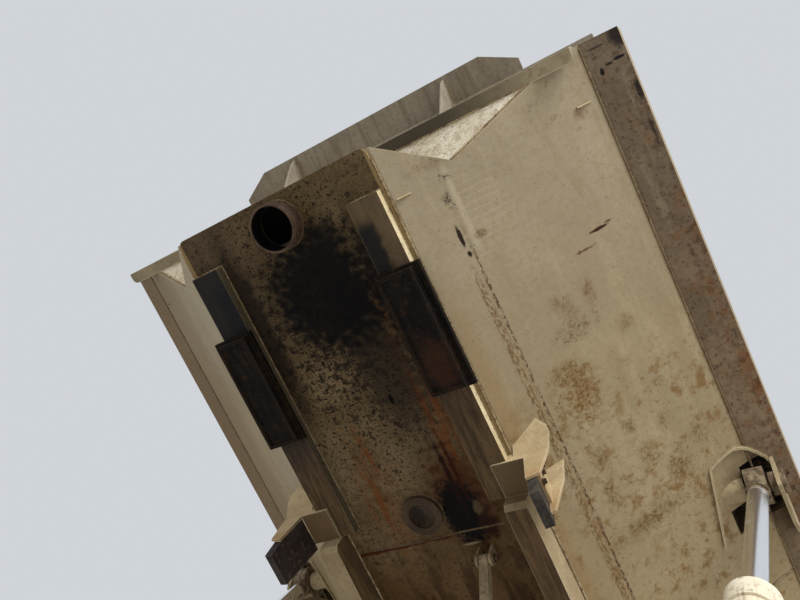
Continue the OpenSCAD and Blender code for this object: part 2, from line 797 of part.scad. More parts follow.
// Bar that hangs plumb from its lug
module safety_prop() {
    eye_r = 26;
    color(cream) tipped() translate([prop_x, prop_y, -prop_drop]) rotate([tip_a, 0, 0]) difference() {
        union() {
            translate([-prop_w / 2, 0, 0]) rotate([0, 90, 0]) cylinder(r = eye_r, h = prop_w);
            translate([-prop_w / 2, -prop_w / 2, -prop_l]) cube([prop_w, prop_w, prop_l]);
        }
        translate([-prop_w, 0, 0]) rotate([0, 90, 0])
            cylinder(r = prop_pin_r + running, h = 2 * prop_w);
    }
}

// Pin with its head outboard of the beam and its free end for the chassis lug
module pivot_pin(side) {
    head_t = 24;
    head_r = pivot_r + 25;
    washer = 6;
    shoulder = pin_in_x + pivot_end_l;
    color(worn) hand(side) rotate([0, 90, 0]) {
        translate([0, 0, pin_in_x]) cylinder(r = pivot_end_r, h = pivot_end_l);
        translate([0, 0, shoulder]) cylinder(r = pivot_r, h = beam_out_x + washer - shoulder);
        translate([0, 0, beam_out_x + washer]) cylinder(r = head_r, h = head_t);
    }
}

duct_plate();
duct_nose();
floor_plate();
tail_chute();
tail_lip();
tail_beams();
lower_side(1);  // lower_side_left
lower_side(-1);  // lower_side_right
chine(1);  // chine_left
chine(-1);  // chine_right
side_wall(1);  // side_wall_left
side_wall(-1);  // side_wall_right
top_rail(1);  // top_rail_left
top_rail(-1);  // top_rail_right
front_wall_lower();
front_wall_upper();
knee_beam();
front_rail();
canopy();
canopy_gussets();
exhaust_inlet();
lower_port();
rest_rail(1);  // rest_rail_left
rest_rail(-1);  // rest_rail_right
rest_pad(1);  // rest_pad_left
rest_pad(-1);  // rest_pad_right
hinge_beam(1);  // hinge_beam_left
hinge_beam(-1);  // hinge_beam_right
cross_tube();
guide(1);  // guide_left
guide(-1);  // guide_right
wear_block(1);  // wear_block_left
wear_block(-1);  // wear_block_right
hoist_ear(1);  // hoist_ear_left
hoist_ear(-1);  // hoist_ear_right
hoist_pin(1);  // hoist_pin_left
hoist_pin(-1);  // hoist_pin_right
prop_lug();
safety_prop();
hoist_rod(1);  // hoist_rod_left
hoist_rod(-1);  // hoist_rod_right
hoist_barrel(1);  // hoist_barrel_left
hoist_barrel(-1);  // hoist_barrel_right
pivot_pin(1);  // pivot_pin_left
pivot_pin(-1);  // pivot_pin_right
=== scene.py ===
import json
import math

import bmesh
import bpy
from mathutils import Matrix, Vector


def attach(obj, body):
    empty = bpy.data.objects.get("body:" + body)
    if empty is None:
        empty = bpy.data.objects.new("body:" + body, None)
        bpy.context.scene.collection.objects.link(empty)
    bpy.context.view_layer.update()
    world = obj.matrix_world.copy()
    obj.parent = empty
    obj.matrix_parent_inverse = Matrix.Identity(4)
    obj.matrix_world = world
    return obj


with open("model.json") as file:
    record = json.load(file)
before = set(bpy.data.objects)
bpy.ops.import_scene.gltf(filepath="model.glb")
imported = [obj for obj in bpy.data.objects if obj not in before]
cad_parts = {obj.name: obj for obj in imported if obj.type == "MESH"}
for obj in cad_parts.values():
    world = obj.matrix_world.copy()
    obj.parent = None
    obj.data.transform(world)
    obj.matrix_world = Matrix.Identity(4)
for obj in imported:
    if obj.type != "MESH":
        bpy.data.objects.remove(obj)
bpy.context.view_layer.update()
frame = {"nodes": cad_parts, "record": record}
nodes = frame["nodes"]
print("frame loaded, nodes:", len(nodes))

# Everything on the dump body is placed in the body's own axes, in metres: x across, y from
# the nose of the floor duct to the tail, z up from the duct. The body is stored tipped.
stored = {"tip": math.radians(30), "pivotY": 3.5, "pivotDrop": 0.12}
toRow = (Matrix.Rotation(-stored["tip"], 4, "X")
         @ Matrix.Translation((0, -stored["pivotY"], stored["pivotDrop"])))
plates = {"footX": 0.5123, "footZ": 0.010, "slope": 0.8125, "foldX": 1.300, "foldZ": 0.650,
          "edgeX": 1.467, "edgeZ": 0.733}
hoistPin = {"x": 1.297, "y": 2.116, "z": 0.570}
inlet = {"x": 0.018, "y": 0.126, "bead": 0.101}  # round hole for the exhaust
port = {"y": 1.540, "bead": 0.096}  # round port further down the duct
propPin = {"y": 1.790, "z": -0.058, "right": 0.158, "left": 0.252}
pivotBoss = {"x": 0.420, "y": 3.240, "z": -0.095, "bead": 0.061}
tailWeld, ductWeld = 2.630, 1.668  # seams across the sides and the duct

shared = {  # colours that several finishes use
    "dark": (156, 140, 110), "pale": (172, 156, 124), "oldRust": (104, 76, 46),
    "darkRust": (70, 44, 26), "blackRust": (30, 22, 18), "speck": (62, 42, 28),
    "bloom": (122, 86, 48), "steel": (120, 107, 90), "brightSteel": (166, 156, 140),
    "rustySteel": (118, 88, 60), "stainedSteel": (88, 68, 50)}


def skinZ(x):  # outer face of a side, at this distance out
    if abs(x) < plates["foldX"]:
        return plates["footZ"] + (abs(x) - plates["footX"]) * plates["slope"]
    rise = (plates["edgeZ"] - plates["foldZ"]) / (plates["edgeX"] - plates["foldX"])
    return plates["foldZ"] + (abs(x) - plates["foldX"]) * rise


def colour(value):  # (red, green, blue) as seen, 0 to 255
    return (*[(c / 255) ** 2.2 for c in value], 1)


class Wire:  # a node's output that can be calculated with
    def __init__(self, finish, socket):
        self.finish = finish
        self.socket = socket

    def math(self, operation, first, second=0.0):
        return self.finish.node("ShaderNodeMath", {"operation": operation}, {0: first, 1: second})

    def __add__(self, other):
        return self.math("ADD", self, other)

    def __sub__(self, other):
        return self.math("SUBTRACT", self, other)

    def __rsub__(self, other):
        return self.math("SUBTRACT", other, self)

    def __mul__(self, other):
        return self.math("MULTIPLY", self, other)

    def __pow__(self, other):
        return self.math("POWER", self, other)

    def __abs__(self):
        return self.math("ABSOLUTE", self)

    def orMore(self, other):
        return self.math("MAXIMUM", self, other)

    def sign(self):
        return self.math("SIGN", self)

    def fraction(self):
        return self.math("FRACT", self)

    __radd__ = __add__
    __rmul__ = __mul__


class Finish:  # one material, built node by node
    def __init__(self, name, tones, spots=None):
        self.tones = {**shared, **tones}  # colours by name
        self.tone = None  # the colour so far
        self.material = bpy.data.materials.new(name)
        self.material.use_nodes = True
        self.tree = self.material.node_tree
        self.shader = self.tree.nodes["Principled BSDF"]
        spot = self.node("ShaderNodeTexCoord", {}, {}, "Object")
        self.place = self.node("ShaderNodeMapping", {}, {
            "Vector": spot, "Rotation": (stored["tip"], 0, 0),
            "Location": (0, stored["pivotY"], -stored["pivotDrop"])})
        self.x, self.y, self.z = (self.axis(self.place, a) for a in "XYZ")
        out = self.node("ShaderNodeTexCoord", {}, {}, "Normal")
        out = self.node("ShaderNodeMapping", {"vector_type": "VECTOR"}, {
            "Vector": out, "Rotation": (stored["tip"], 0, 0)})
        self.faceX, self.faceY, self.faceZ = (self.axis(out, a) for a in "XYZ")
        self.ragged = self.noise(30, 5, 0.65) - 0.5  # breaks up the rims of all the patches
        self.grain = self.clouds(70, 0.40, 0.60, 4, 0.7)
        if spots:
            self.tone = self.mix(self.clouds(spots, 0.35, 0.68, 4, 0.6, 0.4), "dark", "pale")

    def node(self, kind, settings, values, output=0):
        made = self.tree.nodes.new(kind)
        for key, value in settings.items():
            setattr(made, key, value)
        for key, value in values.items():
            if isinstance(value, Wire):
                self.tree.links.new(value.socket, made.inputs[key])
            else:
                made.inputs[key].default_value = value
        return Wire(self, made.outputs[output])

    def axis(self, vector, name):
        return self.node("ShaderNodeSeparateXYZ", {}, {"Vector": vector}, name)

    def noise(self, scale, detail=3.0, rough=0.55, warp=0.0, place=None):
        return self.node("ShaderNodeTexNoise", {}, {
            "Vector": place or self.place, "Scale": scale, "Detail": detail,
            "Roughness": rough, "Distortion": warp}, "Fac")

    def ease(self, value, low, high):  # 0 at low, 1 at high, either way round
        if low > high:
            return 1 - self.ease(value, high, low)
        return self.node("ShaderNodeMapRange", {"interpolation_type": "SMOOTHSTEP"}, {
            "Value": value, "From Min": low, "From Max": high})

    def clouds(self, scale, low, high, detail=4.0, rough=0.6, warp=0.0, place=None):
        return self.ease(self.noise(scale, detail, rough, warp, place), low, high)

    def stretch(self, sizes):  # the place, scaled along its axes
        return self.node("ShaderNodeMapping", {}, {"Vector": self.place, "Scale": sizes})

    def streaks(self, sizes, low, high, detail=4.0, rough=0.6, warp=0.3):  # clouds, drawn out
        return self.clouds(1, low, high, detail, rough, warp, self.stretch(sizes))

    def squareFrom(self, first, second, at):  # squared distance from a line along an axis
        return (first - at[0]) ** 2.0 + (second - at[1]) ** 2.0

    def fromInlet(self):  # distance from the middle of the round inlet
        return self.squareFrom(self.x, self.y, (inlet["x"], inlet["y"])) ** 0.5

    def fromHoistPin(self):  # squared distance from the pin's axis
        return self.squareFrom(self.y, self.z, (hoistPin["y"], hoistPin["z"]))

    def far(self, low, high):  # by the distance from the middle
        return self.ease(abs(self.x), low, high)

    def paintedLightSide(self):  # x below 0, whose faces get other tones as painted light and shade
        return self.ease(self.x, 0.0, -0.1)

    def shade(self, value):  # a wire, a colour or the name of one
        if isinstance(value, Wire):
            return value
        return colour(self.tones[value] if isinstance(value, str) else value)

    def mix(self, factor, first, second):
        return self.node("ShaderNodeMix", {"data_type": "RGBA"}, {
            0: factor, 6: self.shade(first), 7: self.shade(second)}, 2)

    def coat(self, mask, shade, strength):  # one more layer of colour
        self.tone = self.mix(mask * strength, self.tone, shade)

    def spots(self, shade, strength, *cloud):  # a layer in specks or clouds
        self.coat(self.clouds(*cloud), shade, strength)

    def patch(self, at, half, core=0.35, ragged=1.4):
        # 1 in the middle of an oval, 0 at its rim; the oval is drawn in plan, or where a z is
        # given, in all three directions
        reach = None
        for wire, middle, size in zip((self.x, self.y, self.z), at, half):
            part = (wire - middle) * (1 / size)
            reach = part * part if reach is None else reach + part * part
        return self.ease(reach ** 0.5 + self.ragged * ragged, 1.0, core)

    def marks(self, table):  # a soft mark is made up of fine specks
        for at, half, shade, strength, soft, core, ragged in table:
            mask = self.patch(at, half, core, ragged)
            if soft:
                mask = mask * (self.grain * soft + (1 - soft))
            self.coat(mask, shade, strength)

    def rub(self, radius, strength):  # a layer on sharp edges and in corners: worn paint, and a painted highlight where the edge colour is paler than the paint
        rounded = self.node("ShaderNodeBevel", {"samples": 4}, {"Radius": radius})
        flat = self.node("ShaderNodeNewGeometry", {}, {}, "Normal")
        same = self.node("ShaderNodeVectorMath", {"operation": "DOT_PRODUCT"},
                         {0: rounded, 1: flat}, "Value")
        self.coat(self.ease(1 - same, 0.04, 0.30), "edge", strength)

    def under(self, low=0.6, high=0.9):  # faces that look at the ground
        return self.ease(self.faceZ * -1, low, high)

    def inboard(self):  # upright faces that look at the middle
        return self.ease(self.faceX * self.x.sign() * -1, 0.6, 0.9)

    def outboard(self):  # upright faces that look away from the middle
        return self.ease(self.faceX * self.x.sign(), 0.8, 0.95)

    def wear(self, age):  # dark specks and rust bloom
        self.coat(self.clouds(95, 0.66, 0.73, 2) * self.clouds(5, 0.42, 0.6, 2), "speck",
                  0.6 * age)
        self.coat(self.clouds(17, 0.60, 0.70, 5, 0.65) * self.clouds(1.5, 0.5, 0.62, 2), "bloom",
                  0.5 * age)

    def scour(self, where):  # bare steel, on the load's side of a plate
        steel = self.mix(self.streaks((60, 3, 60), 0.35, 0.7, 5, 0.65), "steel", "brightSteel")
        steel = self.mix(self.clouds(2.4, 0.46, 0.72, 5, 0.7) * 0.6, steel, "rustySteel")
        steel = self.mix(self.clouds(7, 0.54, 0.72, 5, 0.7) * 0.55, steel, "stainedSteel")
        self.tone = self.mix(where, self.tone, steel)

    def bump(self, height, depth):
        return self.node("ShaderNodeBump", {}, {"Height": height, "Strength": 1.0,
                                                "Distance": depth})

    def grit(self, scale=60, depth=0.003):  # the fine bump of dusty paint
        return self.bump(self.noise(scale, 4), depth)

    def feed(self, sockets):
        matt = {"Base Color": self.tone, "Specular IOR Level": 0.25}
        for key, value in {**matt, **sockets}.items():
            if isinstance(value, Wire):
                self.tree.links.new(value.socket, self.shader.inputs[key])
            else:
                self.shader.inputs[key].default_value = value
        return self.material


# Each mark is read off the photograph and laid on the plate that it shows on. A row is its
# place, half size, colour, strength, softness, solid core and how ragged its rim is.
slantMarks = [
    ((0.8, 1.33), (0.12, 0.19), (116, 86, 44), 1.0, 0.75, 0.1, 2.4),
    ((0.835, 1.27), (0.07, 0.13), (118, 84, 44), 0.65, 0.6, 0.1, 2.2),
    ((0.79, 1.2), (0.08, 0.08), (118, 92, 54), 0.9, 0.8, 0.35, 1.4),
    ((0.889, 0.965), (0.05, 0.1), (116, 92, 62), 0.7, 0.7, 0.0, 2.0),
    ((0.99, 0.938), (0.04, 0.09), (118, 90, 58), 0.8, 0.6, 0.0, 2.0),
    ((0.86, 0.913), (0.04, 0.05), (118, 94, 64), 0.7, 0.6, 0.0, 1.4),
    ((0.883, 1.056), (0.12, 0.06), (112, 92, 62), 0.9, 0.8, 0.0, 2.4),
    ((1.062, 1.14), (0.048, 0.056), (114, 90, 58), 0.75, 0.5, 0.0, 1.4),
    ((0.773, 1.614), (0.05, 0.07), (106, 74, 36), 0.8, 0.6, 0.0, 2.2),
    ((0.761, 1.757), (0.035, 0.11), (102, 70, 34), 0.85, 0.6, 0.0, 2.2),
    ((0.948, 1.725), (0.055, 0.07), (110, 82, 42), 0.9, 0.7, 0.0, 2.4),
    ((1.038, 1.846), (0.07, 0.11), (108, 80, 40), 0.95, 0.7, 0.0, 2.4),
    ((0.925, 1.554), (0.04, 0.06), (108, 82, 44), 0.9, 0.7, 0.0, 1.4),
    ((1.046, 1.62), (0.035, 0.06), (112, 86, 50), 0.8, 0.7, 0.0, 1.4),
    ((0.86, 1.98), (0.2, 0.07), (106, 76, 38), 0.9, 0.7, 0.0, 2.6),
    ((1.163, 1.759), (0.06, 0.1), (114, 90, 54), 0.8, 0.8, 0.0, 2.4),
    ((0.7, 0.16), (0.18, 0.05), (116, 94, 68), 0.7, 0.6, 0.0, 2.2),
    ((0.722, 0.505), (0.035, 0.022), (108, 84, 54), 0.8, 0.5, 0.35, 1.4),
    ((1.112, 0.722), (0.048, 0.009), (66, 34, 20), 1.0, 0.0, 0.6, 0.9),
    ((1.15, 0.712), (0.022, 0.008), (74, 40, 24), 0.9, 0.0, 0.35, 1.4),
    ((1.035, 0.775), (0.05, 0.008), (92, 58, 34), 0.8, 0.0, 0.35, 2.6),
    ((0.657, 0.478), (0.01, 0.052), (44, 28, 20), 1.0, 0.0, 0.6, 0.8),
    ((0.662, 0.56), (0.009, 0.018), (36, 24, 18), 1.0, 0.0, 0.35, 1.4),
    ((0.668, 0.33), (0.022, 0.045), (52, 36, 26), 0.9, 1.0, 0.35, 3.0),
    ((0.69, 0.24), (0.024, 0.024), (48, 34, 26), 0.9, 1.0, 0.35, 3.0),
    ((1.215, 0.25), (0.035, 0.035), (118, 92, 68), 0.7, 0.5, 0.35, 1.4),
    # painted shade inside the hoist ear's rim
    ((1.255, 2.07), (0.125, 0.19), (104, 91, 72), 0.5, 0.0, 0.3, 0.6),
]
slantTones = {"wash": (182, 166, 134), "drab": (142, 124, 92), "dust": (146, 128, 96),
              "front": (158, 148, 130), "tail": (160, 140, 104), "brush": (190, 174, 142),
              "rub": (184, 172, 146), "foot": (150, 116, 68), "rust": (124, 92, 50),
              "seam": (126, 92, 52), "rightOutShade": (132, 112, 82), "rightInLight": (176, 164, 142),
              "fold": (118, 102, 78), "edge": (208, 194, 162)}
slantSeams = [  # rust in dotted lines along the body
    {"x": 0.650, "half": 0.015, "shade": "oldRust", "strength": 0.85, "starts": (0.55, 0.75)},
    {"x": 0.677, "half": 0.007, "shade": "darkRust", "strength": 0.95, "starts": (0.3, 0.7)},
    {"x": 0.664, "half": 0.012, "shade": "seam", "strength": 0.5, "starts": (0.6, 0.9)},
]


def slantPaint(name):
    f = Finish(name, slantTones, 1.4)
    f.coat(f.ease(f.y, 1.4, 0.1), "front", 0.55)
    f.coat(f.ease(f.y, 1.3, 2.6), "tail", 0.55)
    f.coat(f.streaks((14, 1.2, 14), 0.50, 0.70, 3), "wash", 0.30)
    f.coat(f.streaks((9, 2.0, 9), 0.52, 0.72, 4, 0.6, 0.6), "drab", 0.35)
    f.spots("dust", 0.38, 38, 0.42, 0.66, 4, 0.7)
    lines = f.y * 34 + f.noise(3) * 2  # strokes of a brush near the front
    brush = f.ease(abs(lines.fraction() - 0.5), 0.42, 0.5)
    f.coat(brush * f.patch((0.76, 0.42), (0.15, 0.26)), "brush", 0.55)
    f.coat(f.ease(abs(f.x - 0.700), 0.016, 0.004) * f.ease(f.y, 0.15, 0.25)
           * f.ease(f.y, 0.62, 0.5), "rub", 0.6)
    f.coat(f.ease(abs(f.x - 0.54), 0.05, 0.0) * f.ease(f.y, 0.5, 0.9), "foot", 0.35)
    rear = f.ease(f.y, 1.1, 1.5)
    f.coat(f.clouds(11, 0.50, 0.64, 5, 0.7) * rear * f.clouds(2.6, 0.40, 0.56, 2), "rust", 0.8)
    f.coat(f.clouds(46, 0.60, 0.68, 3) * rear, "oldRust", 0.45)
    f.marks(slantMarks)
    dots = f.streaks((150, 44, 90), 0.44, 0.56, 5, 0.7, 0.0)
    for seam in slantSeams:
        line = f.ease(abs(abs(f.x) - seam["x"]), seam["half"], seam["half"] * 0.4)
        f.coat(line * dots * f.ease(f.y, *seam["starts"]), seam["shade"], seam["strength"])
    # painted shade on the outer part of the side at x below 0, painted light on its inner part
    right = f.paintedLightSide()
    f.coat(right * f.far(0.85, 1.1), "rightOutShade", 0.6)
    f.coat(right * f.far(0.85, 0.65), "rightInLight", 0.5)
    f.coat(f.ease(abs(f.y - tailWeld), 0.010, 0.003), "darkRust", 0.8)
    f.coat(f.far(1.285, 1.298), "fold", 0.6)
    f.wear(0.9)
    f.spots("blackRust", 0.6, 140, 0.70, 0.74, 1)
    f.rub(0.005, 0.65)
    f.scour(f.ease(f.faceZ, 0.3, 0.6))
    dents = f.noise(2.4, 2) + f.noise(9, 3) * 0.14 + f.noise(150, 3) * 0.012
    return f.feed({"Roughness": 0.60 + f.noise(28, 4) * 0.22, "Normal": f.bump(dents, 0.018)})


chineMarks = [
    ((1.35, 0.137), (0.01, 0.018), (22, 17, 17), 1.0, 0.0, 0.6, 1.4),
    ((1.385, 0.119), (0.02, 0.007), (26, 20, 19), 0.95, 0.0, 0.6, 1.4),
    ((1.428, 0.112), (0.03, 0.009), (18, 14, 14), 1.0, 0.0, 0.6, 1.4),
    ((1.452, 0.02), (0.05, 0.075), (34, 24, 24), 0.95, 0.0, 0.35, 1.4),
    ((1.36, 0.035), (0.045, 0.007), (48, 38, 32), 0.85, 0.0, 0.35, 1.4),
    ((1.456, 0.27), (0.016, 0.06), (30, 22, 20), 0.9, 0.0, 0.35, 2.6),
    ((1.45, 0.45), (0.012, 0.1), (44, 32, 26), 0.8, 0.0, 0.35, 3.0),
]
chineTones = {"dark": (102, 86, 68), "pale": (126, 108, 86), "front": (106, 96, 84),
              "scrape": (144, 130, 106), "dirt": (90, 74, 56), "rust": (116, 80, 48),
              "rimRust": (116, 72, 38), "stain": (66, 46, 32), "pits": (52, 37, 28),
              # "right" is painted light for the chine at x below 0
              "right": (140, 119, 90), "fold": (92, 76, 58), "edge": (94, 76, 56)}


def chinePaint(name):
    f = Finish(name, chineTones, 2.2)
    f.coat(f.ease(f.y, 1.6, 0.0), "front", 0.5)
    f.coat(f.streaks((14, 1.8, 14), 0.48, 0.66), "scrape", 0.4)
    f.spots("dirt", 0.55, 30, 0.44, 0.64, 5, 0.7)
    f.spots("rust", 0.5, 9, 0.54, 0.66, 5, 0.65)
    rim = f.far(1.36, 1.46)
    f.coat(f.clouds(16, 0.44, 0.62, 5, 0.7) * rim * f.ease(f.y, 0.5, 1.3), "rimRust", 0.75)
    f.coat(f.clouds(24, 0.50, 0.60, 5, 0.7) * (0.10 + rim * 0.75), "stain", 0.7)
    f.spots("pits", 0.6, 60, 0.60, 0.68, 3)
    # painted light: the chine at x below 0 lighter
    f.coat(f.paintedLightSide(), "right", 0.62)
    f.marks(chineMarks)
    f.coat(f.far(1.318, 1.300), "fold", 0.7)
    f.rub(0.005, 0.5)
    f.scour(f.ease(f.faceZ, 0.3, 0.6))
    rough = f.noise(60, 4) * 0.4 + f.noise(9, 3)
    return f.feed({"Roughness": 0.66 + f.noise(30, 3) * 0.2, "Normal": f.bump(rough, 0.006)})


wallTones = {"streaks": (148, 128, 96), "dust": (150, 132, 100), "foot": (120, 96, 66),
             "edge": (112, 86, 56), "under": (92, 76, 56)}


def wallPaint(name):  # side walls, top rails, tail beams
    f = Finish(name, wallTones, 1.3)
    f.coat(f.streaks((9, 9, 1.3), 0.50, 0.68, 4, 0.6, 0.4), "streaks", 0.45)
    f.spots("dust", 0.35, 32, 0.44, 0.66, 4, 0.7)
    f.coat(f.ease(f.z, 1.0, 0.74) * f.clouds(8, 0.36, 0.6, 5), "foot", 0.6)
    f.wear(1.3)
    f.rub(0.006, 0.5)
    f.coat(f.under(0.5, 0.8) * f.ease(f.z, 0.80, 0.76), "under", 0.7)
    f.scour(f.inboard())
    dents = f.noise(1.8, 2) + f.noise(150, 3) * 0.012
    return f.feed({"Roughness": 0.62 + f.noise(28, 4) * 0.2, "Normal": f.bump(dents, 0.022)})


frontTones = {"dark": (196, 184, 160), "pale": (222, 212, 190), "dust": (158, 142, 112),
              "chips": (96, 78, 56), "specks": (52, 42, 34), "edge": (60, 48, 38)}


def frontPaint(name):  # pale, speckled front wall and its V faces: pale dusty paint, made paler still as painted light for the lit V faces
    f = Finish(name, frontTones, 5)
    f.coat(f.streaks((22, 22, 12), 0.46, 0.62, 5, 0.7, 0.5), "dust", 0.6)
    f.spots("chips", 0.65, 75, 0.56, 0.64, 4, 0.7)
    f.spots("specks", 0.6, 160, 0.60, 0.66, 2)
    f.rub(0.006, 0.5)
    f.scour(f.ease(f.faceY, 0.3, 0.6))
    return f.feed({"Roughness": 0.7, "Normal": f.grit(110, 0.004)})


canopyTones = {"dark": (138, 129, 114), "pale": (160, 150, 133), "streaks": (118, 109, 95),
               "wash": (164, 156, 136), "dust": (112, 102, 84), "edge": (214, 204, 180)}


def canopyPaint(name):  # grey-olive, streaked up and down
    f = Finish(name, canopyTones, 2.6)
    f.coat(f.streaks((34, 3, 3), 0.46, 0.64, 4, 0.65, 0.2), "streaks", 0.6)
    f.coat(f.streaks((48, 2, 2), 0.56, 0.68, 4, 0.65, 0.2), "wash", 0.5)
    f.spots("dust", 0.4, 40, 0.50, 0.66, 4, 0.7)
    f.wear(0.6)
    f.rub(0.006, 0.75)
    f.scour(f.ease(f.faceY, 0.3, 0.6))
    return f.feed({"Roughness": 0.68, "Normal": f.grit()})


kneeTones = {"dark": (140, 128, 104), "pale": (160, 148, 122), "dust": (120, 106, 84),
             # "dirt" is painted shade here, laid under the knee beam
             "dirt": (58, 54, 48), "stain": (90, 76, 58), "edge": (214, 202, 176),
             "sootAndShade": (4, 4, 5)}


def kneePaint(name):  # knee beam and the duct's sloping nose
    f = Finish(name, kneeTones, 3)
    f.spots("dust", 0.5, 30, 0.46, 0.66, 4, 0.7)
    # painted shade under the knee beam and nose, at x above 0, fading towards the side
    f.coat(f.ease(f.x, 1.15, 0.62) * f.ease(f.x, -0.2, 0.2) * f.under(0.2, 0.7), "dirt", 0.85)
    f.coat(f.patch((-0.72, 0.0, 0.5), (0.10, 0.2, 0.12)), "stain", 0.7)
    f.wear(0.8)
    f.rub(0.007, 0.8)
    inside = f.ease(f.faceY, 0.3, 0.6)
    f.scour(inside)
    f.coat(inside * f.under(0.4, 0.6) * f.ease(f.z, 0.30, 0.20), "sootAndShade", 1.0)  # soot and painted shade inside the duct
    return f.feed({"Roughness": 0.66, "Normal": f.grit()})


oilMark = ((0.185, 1.58), (0.125, 0.2), (8, 6, 6), 1.0, 0.0, 0.6, 1.2)  # wet, so it also shines
ductMarks = [
    ((0.16, 0.8), (0.2, 0.6), (34, 28, 24), 0.75, 0.0, 0.35, 2.4),
    ((0.06, 0.46), (0.34, 0.36), (11, 10, 13), 0.96, 0.0, 0.5, 1.7),
    ((0.16, 0.25), (0.14, 0.12), (22, 20, 20), 0.8, 0.0, 0.35, 1.8),
    ((-0.31, 0.52), (0.09, 0.62), (26, 22, 22), 0.8, 0.0, 0.35, 1.6),
    ((0.31, 0.55), (0.05, 0.5), (22, 18, 18), 0.85, 0.0, 0.35, 1.4),
    ((0.21, 1.52), (0.2, 0.34), (64, 32, 16), 0.85, 0.0, 0.35, 1.8),
    oilMark,
    ((0.2, 1.4), (0.018, 0.26), (34, 15, 9), 0.9, 0.0, 0.35, 1.2),
    ((0.235, 1.36), (0.014, 0.22), (52, 22, 12), 0.9, 0.0, 0.35, 1.4),
    ((0.27, 1.66), (0.06, 0.09), (40, 22, 14), 0.9, 0.0, 0.35, 1.4),
    ((0.115, 0.99), (0.012, 0.03), (8, 7, 7), 1.0, 0.0, 0.7, 0.4),
    ((0.005, 0.86), (0.01, 0.028), (32, 24, 18), 0.9, 0.0, 0.35, 1.4),
    ((0.155, 1.735), (0.06, 0.008), (150, 136, 112), 0.6, 0.0, 0.35, 1.4),
    ((0.26, 1.57), (0.03, 0.045), (104, 88, 64), 0.5, 0.0, 0.35, 2.6),
]
ductTones = {"dark": (96, 81, 58), "pale": (122, 105, 80), "dust": (80, 66, 47),
             "smoke": (60, 50, 42), "specks": (28, 22, 18), "fineSpecks": (34, 27, 21),
             "blots": (22, 18, 17), "runs": (106, 60, 28), "rear": (84, 58, 32),
             "rearRuns": (48, 32, 20), "weld": (66, 28, 14), "strip": (152, 128, 90),
             "bore": (5, 5, 6), "side": (190, 164, 118), "edge": (150, 126, 92)}


def ductPaint(name):
    f = Finish(name, ductTones, 2.4)
    f.spots("dust", 0.6, 30, 0.42, 0.62, 4, 0.7)
    f.coat(f.ease(f.x, 0.1, -0.35) * f.ease(f.y, 0.9, 0.2), "smoke", 0.55)
    near = f.patch((0.02, 0.62), (0.62, 0.95), 0.1, 0.4)
    f.coat(f.ease(f.noise(60, 2, 0.5) + near * 0.10, 0.60, 0.72), "specks", 0.9)
    f.coat(f.ease(f.noise(120, 2, 0.5) + near * 0.06, 0.58, 0.68), "fineSpecks", 0.75)
    f.coat(f.ease(f.noise(24, 3, 0.5) + near * 0.12, 0.62, 0.74), "blots", 0.7)
    lanes = f.patch((0.27, 1.05), (0.09, 0.75)) + f.patch((-0.15, 1.40), (0.12, 0.45))
    f.coat(lanes * f.streaks((36, 3.0, 36), 0.42, 0.64, 5, 0.68, 0.4), "runs", 0.85)
    rear = f.ease(f.y, 1.35, 2.1)
    f.coat(rear, "rear", 0.7)
    f.coat(rear * f.streaks((12, 3, 12), 0.46, 0.60, 4, 0.6, 0.4), "rearRuns", 0.75)
    f.marks(ductMarks)
    weldLine = abs(f.y - ductWeld - f.noise(14) * 0.02)
    f.coat(f.ease(weldLine, 0.014, 0.004) * f.ease(f.x, 0.12, 0.05), "weld", 0.9)
    f.coat(f.far(0.484, 0.490), "strip", 0.8)
    # the inlet hole's wall black: soot and painted shade
    f.coat(f.ease(f.fromInlet(), 0.102, 0.088), "bore", 1.0)
    # painted highlight on the duct plate's outer edge faces
    f.coat(f.outboard(), "side", 0.8)
    f.rub(0.005, 0.6)
    rough = f.noise(40, 4) + f.noise(9, 3) * 0.6
    at, half, *_, core, ragged = oilMark
    return f.feed({"Specular IOR Level": 0.10, "Normal": f.bump(rough, 0.004),
                   "Roughness": 0.62 - f.patch(at, half, core, ragged) * 0.42})


pipeTones = {"dark": (66, 52, 42), "pale": (98, 80, 64), "burnt": (34, 27, 23),
             "bore": (3, 3, 4), "port": (56, 45, 32), "portBore": (14, 10, 9),
             "edge": (150, 122, 98)}


def pipePaint(name):  # exhaust inlet and the port further down
    f = Finish(name, pipeTones, 9)
    f.spots("burnt", 0.7, 50, 0.50, 0.62, 4, 0.7)
    # the inlet pipe's inner wall black: soot and painted shade
    f.coat(f.ease(f.fromInlet(), 0.0945, 0.0930), "bore", 1.0)
    f.coat(f.ease(f.y, 1.0, 1.2), "port", 0.65)
    # painted shade in the port's recess
    f.coat(f.patch((-0.02, port["y"]), (0.05, 0.06)), "portBore", 0.8)
    f.rub(0.004, 0.45)
    return f.feed({"Roughness": 0.6, "Normal": f.grit(60, 0.004)})


railTones = {"dark": (206, 186, 146), "pale": (226, 210, 172), "dust": (160, 136, 98),
             "dirt": (60, 46, 32), "dryDirt": (96, 77, 53), "sootAndShade": (15, 14, 18),
             "smoke": (104, 90, 70), "rightSootAndShade": (19, 19, 25), "inner": (34, 26, 20),
             "edge": (176, 152, 112)}


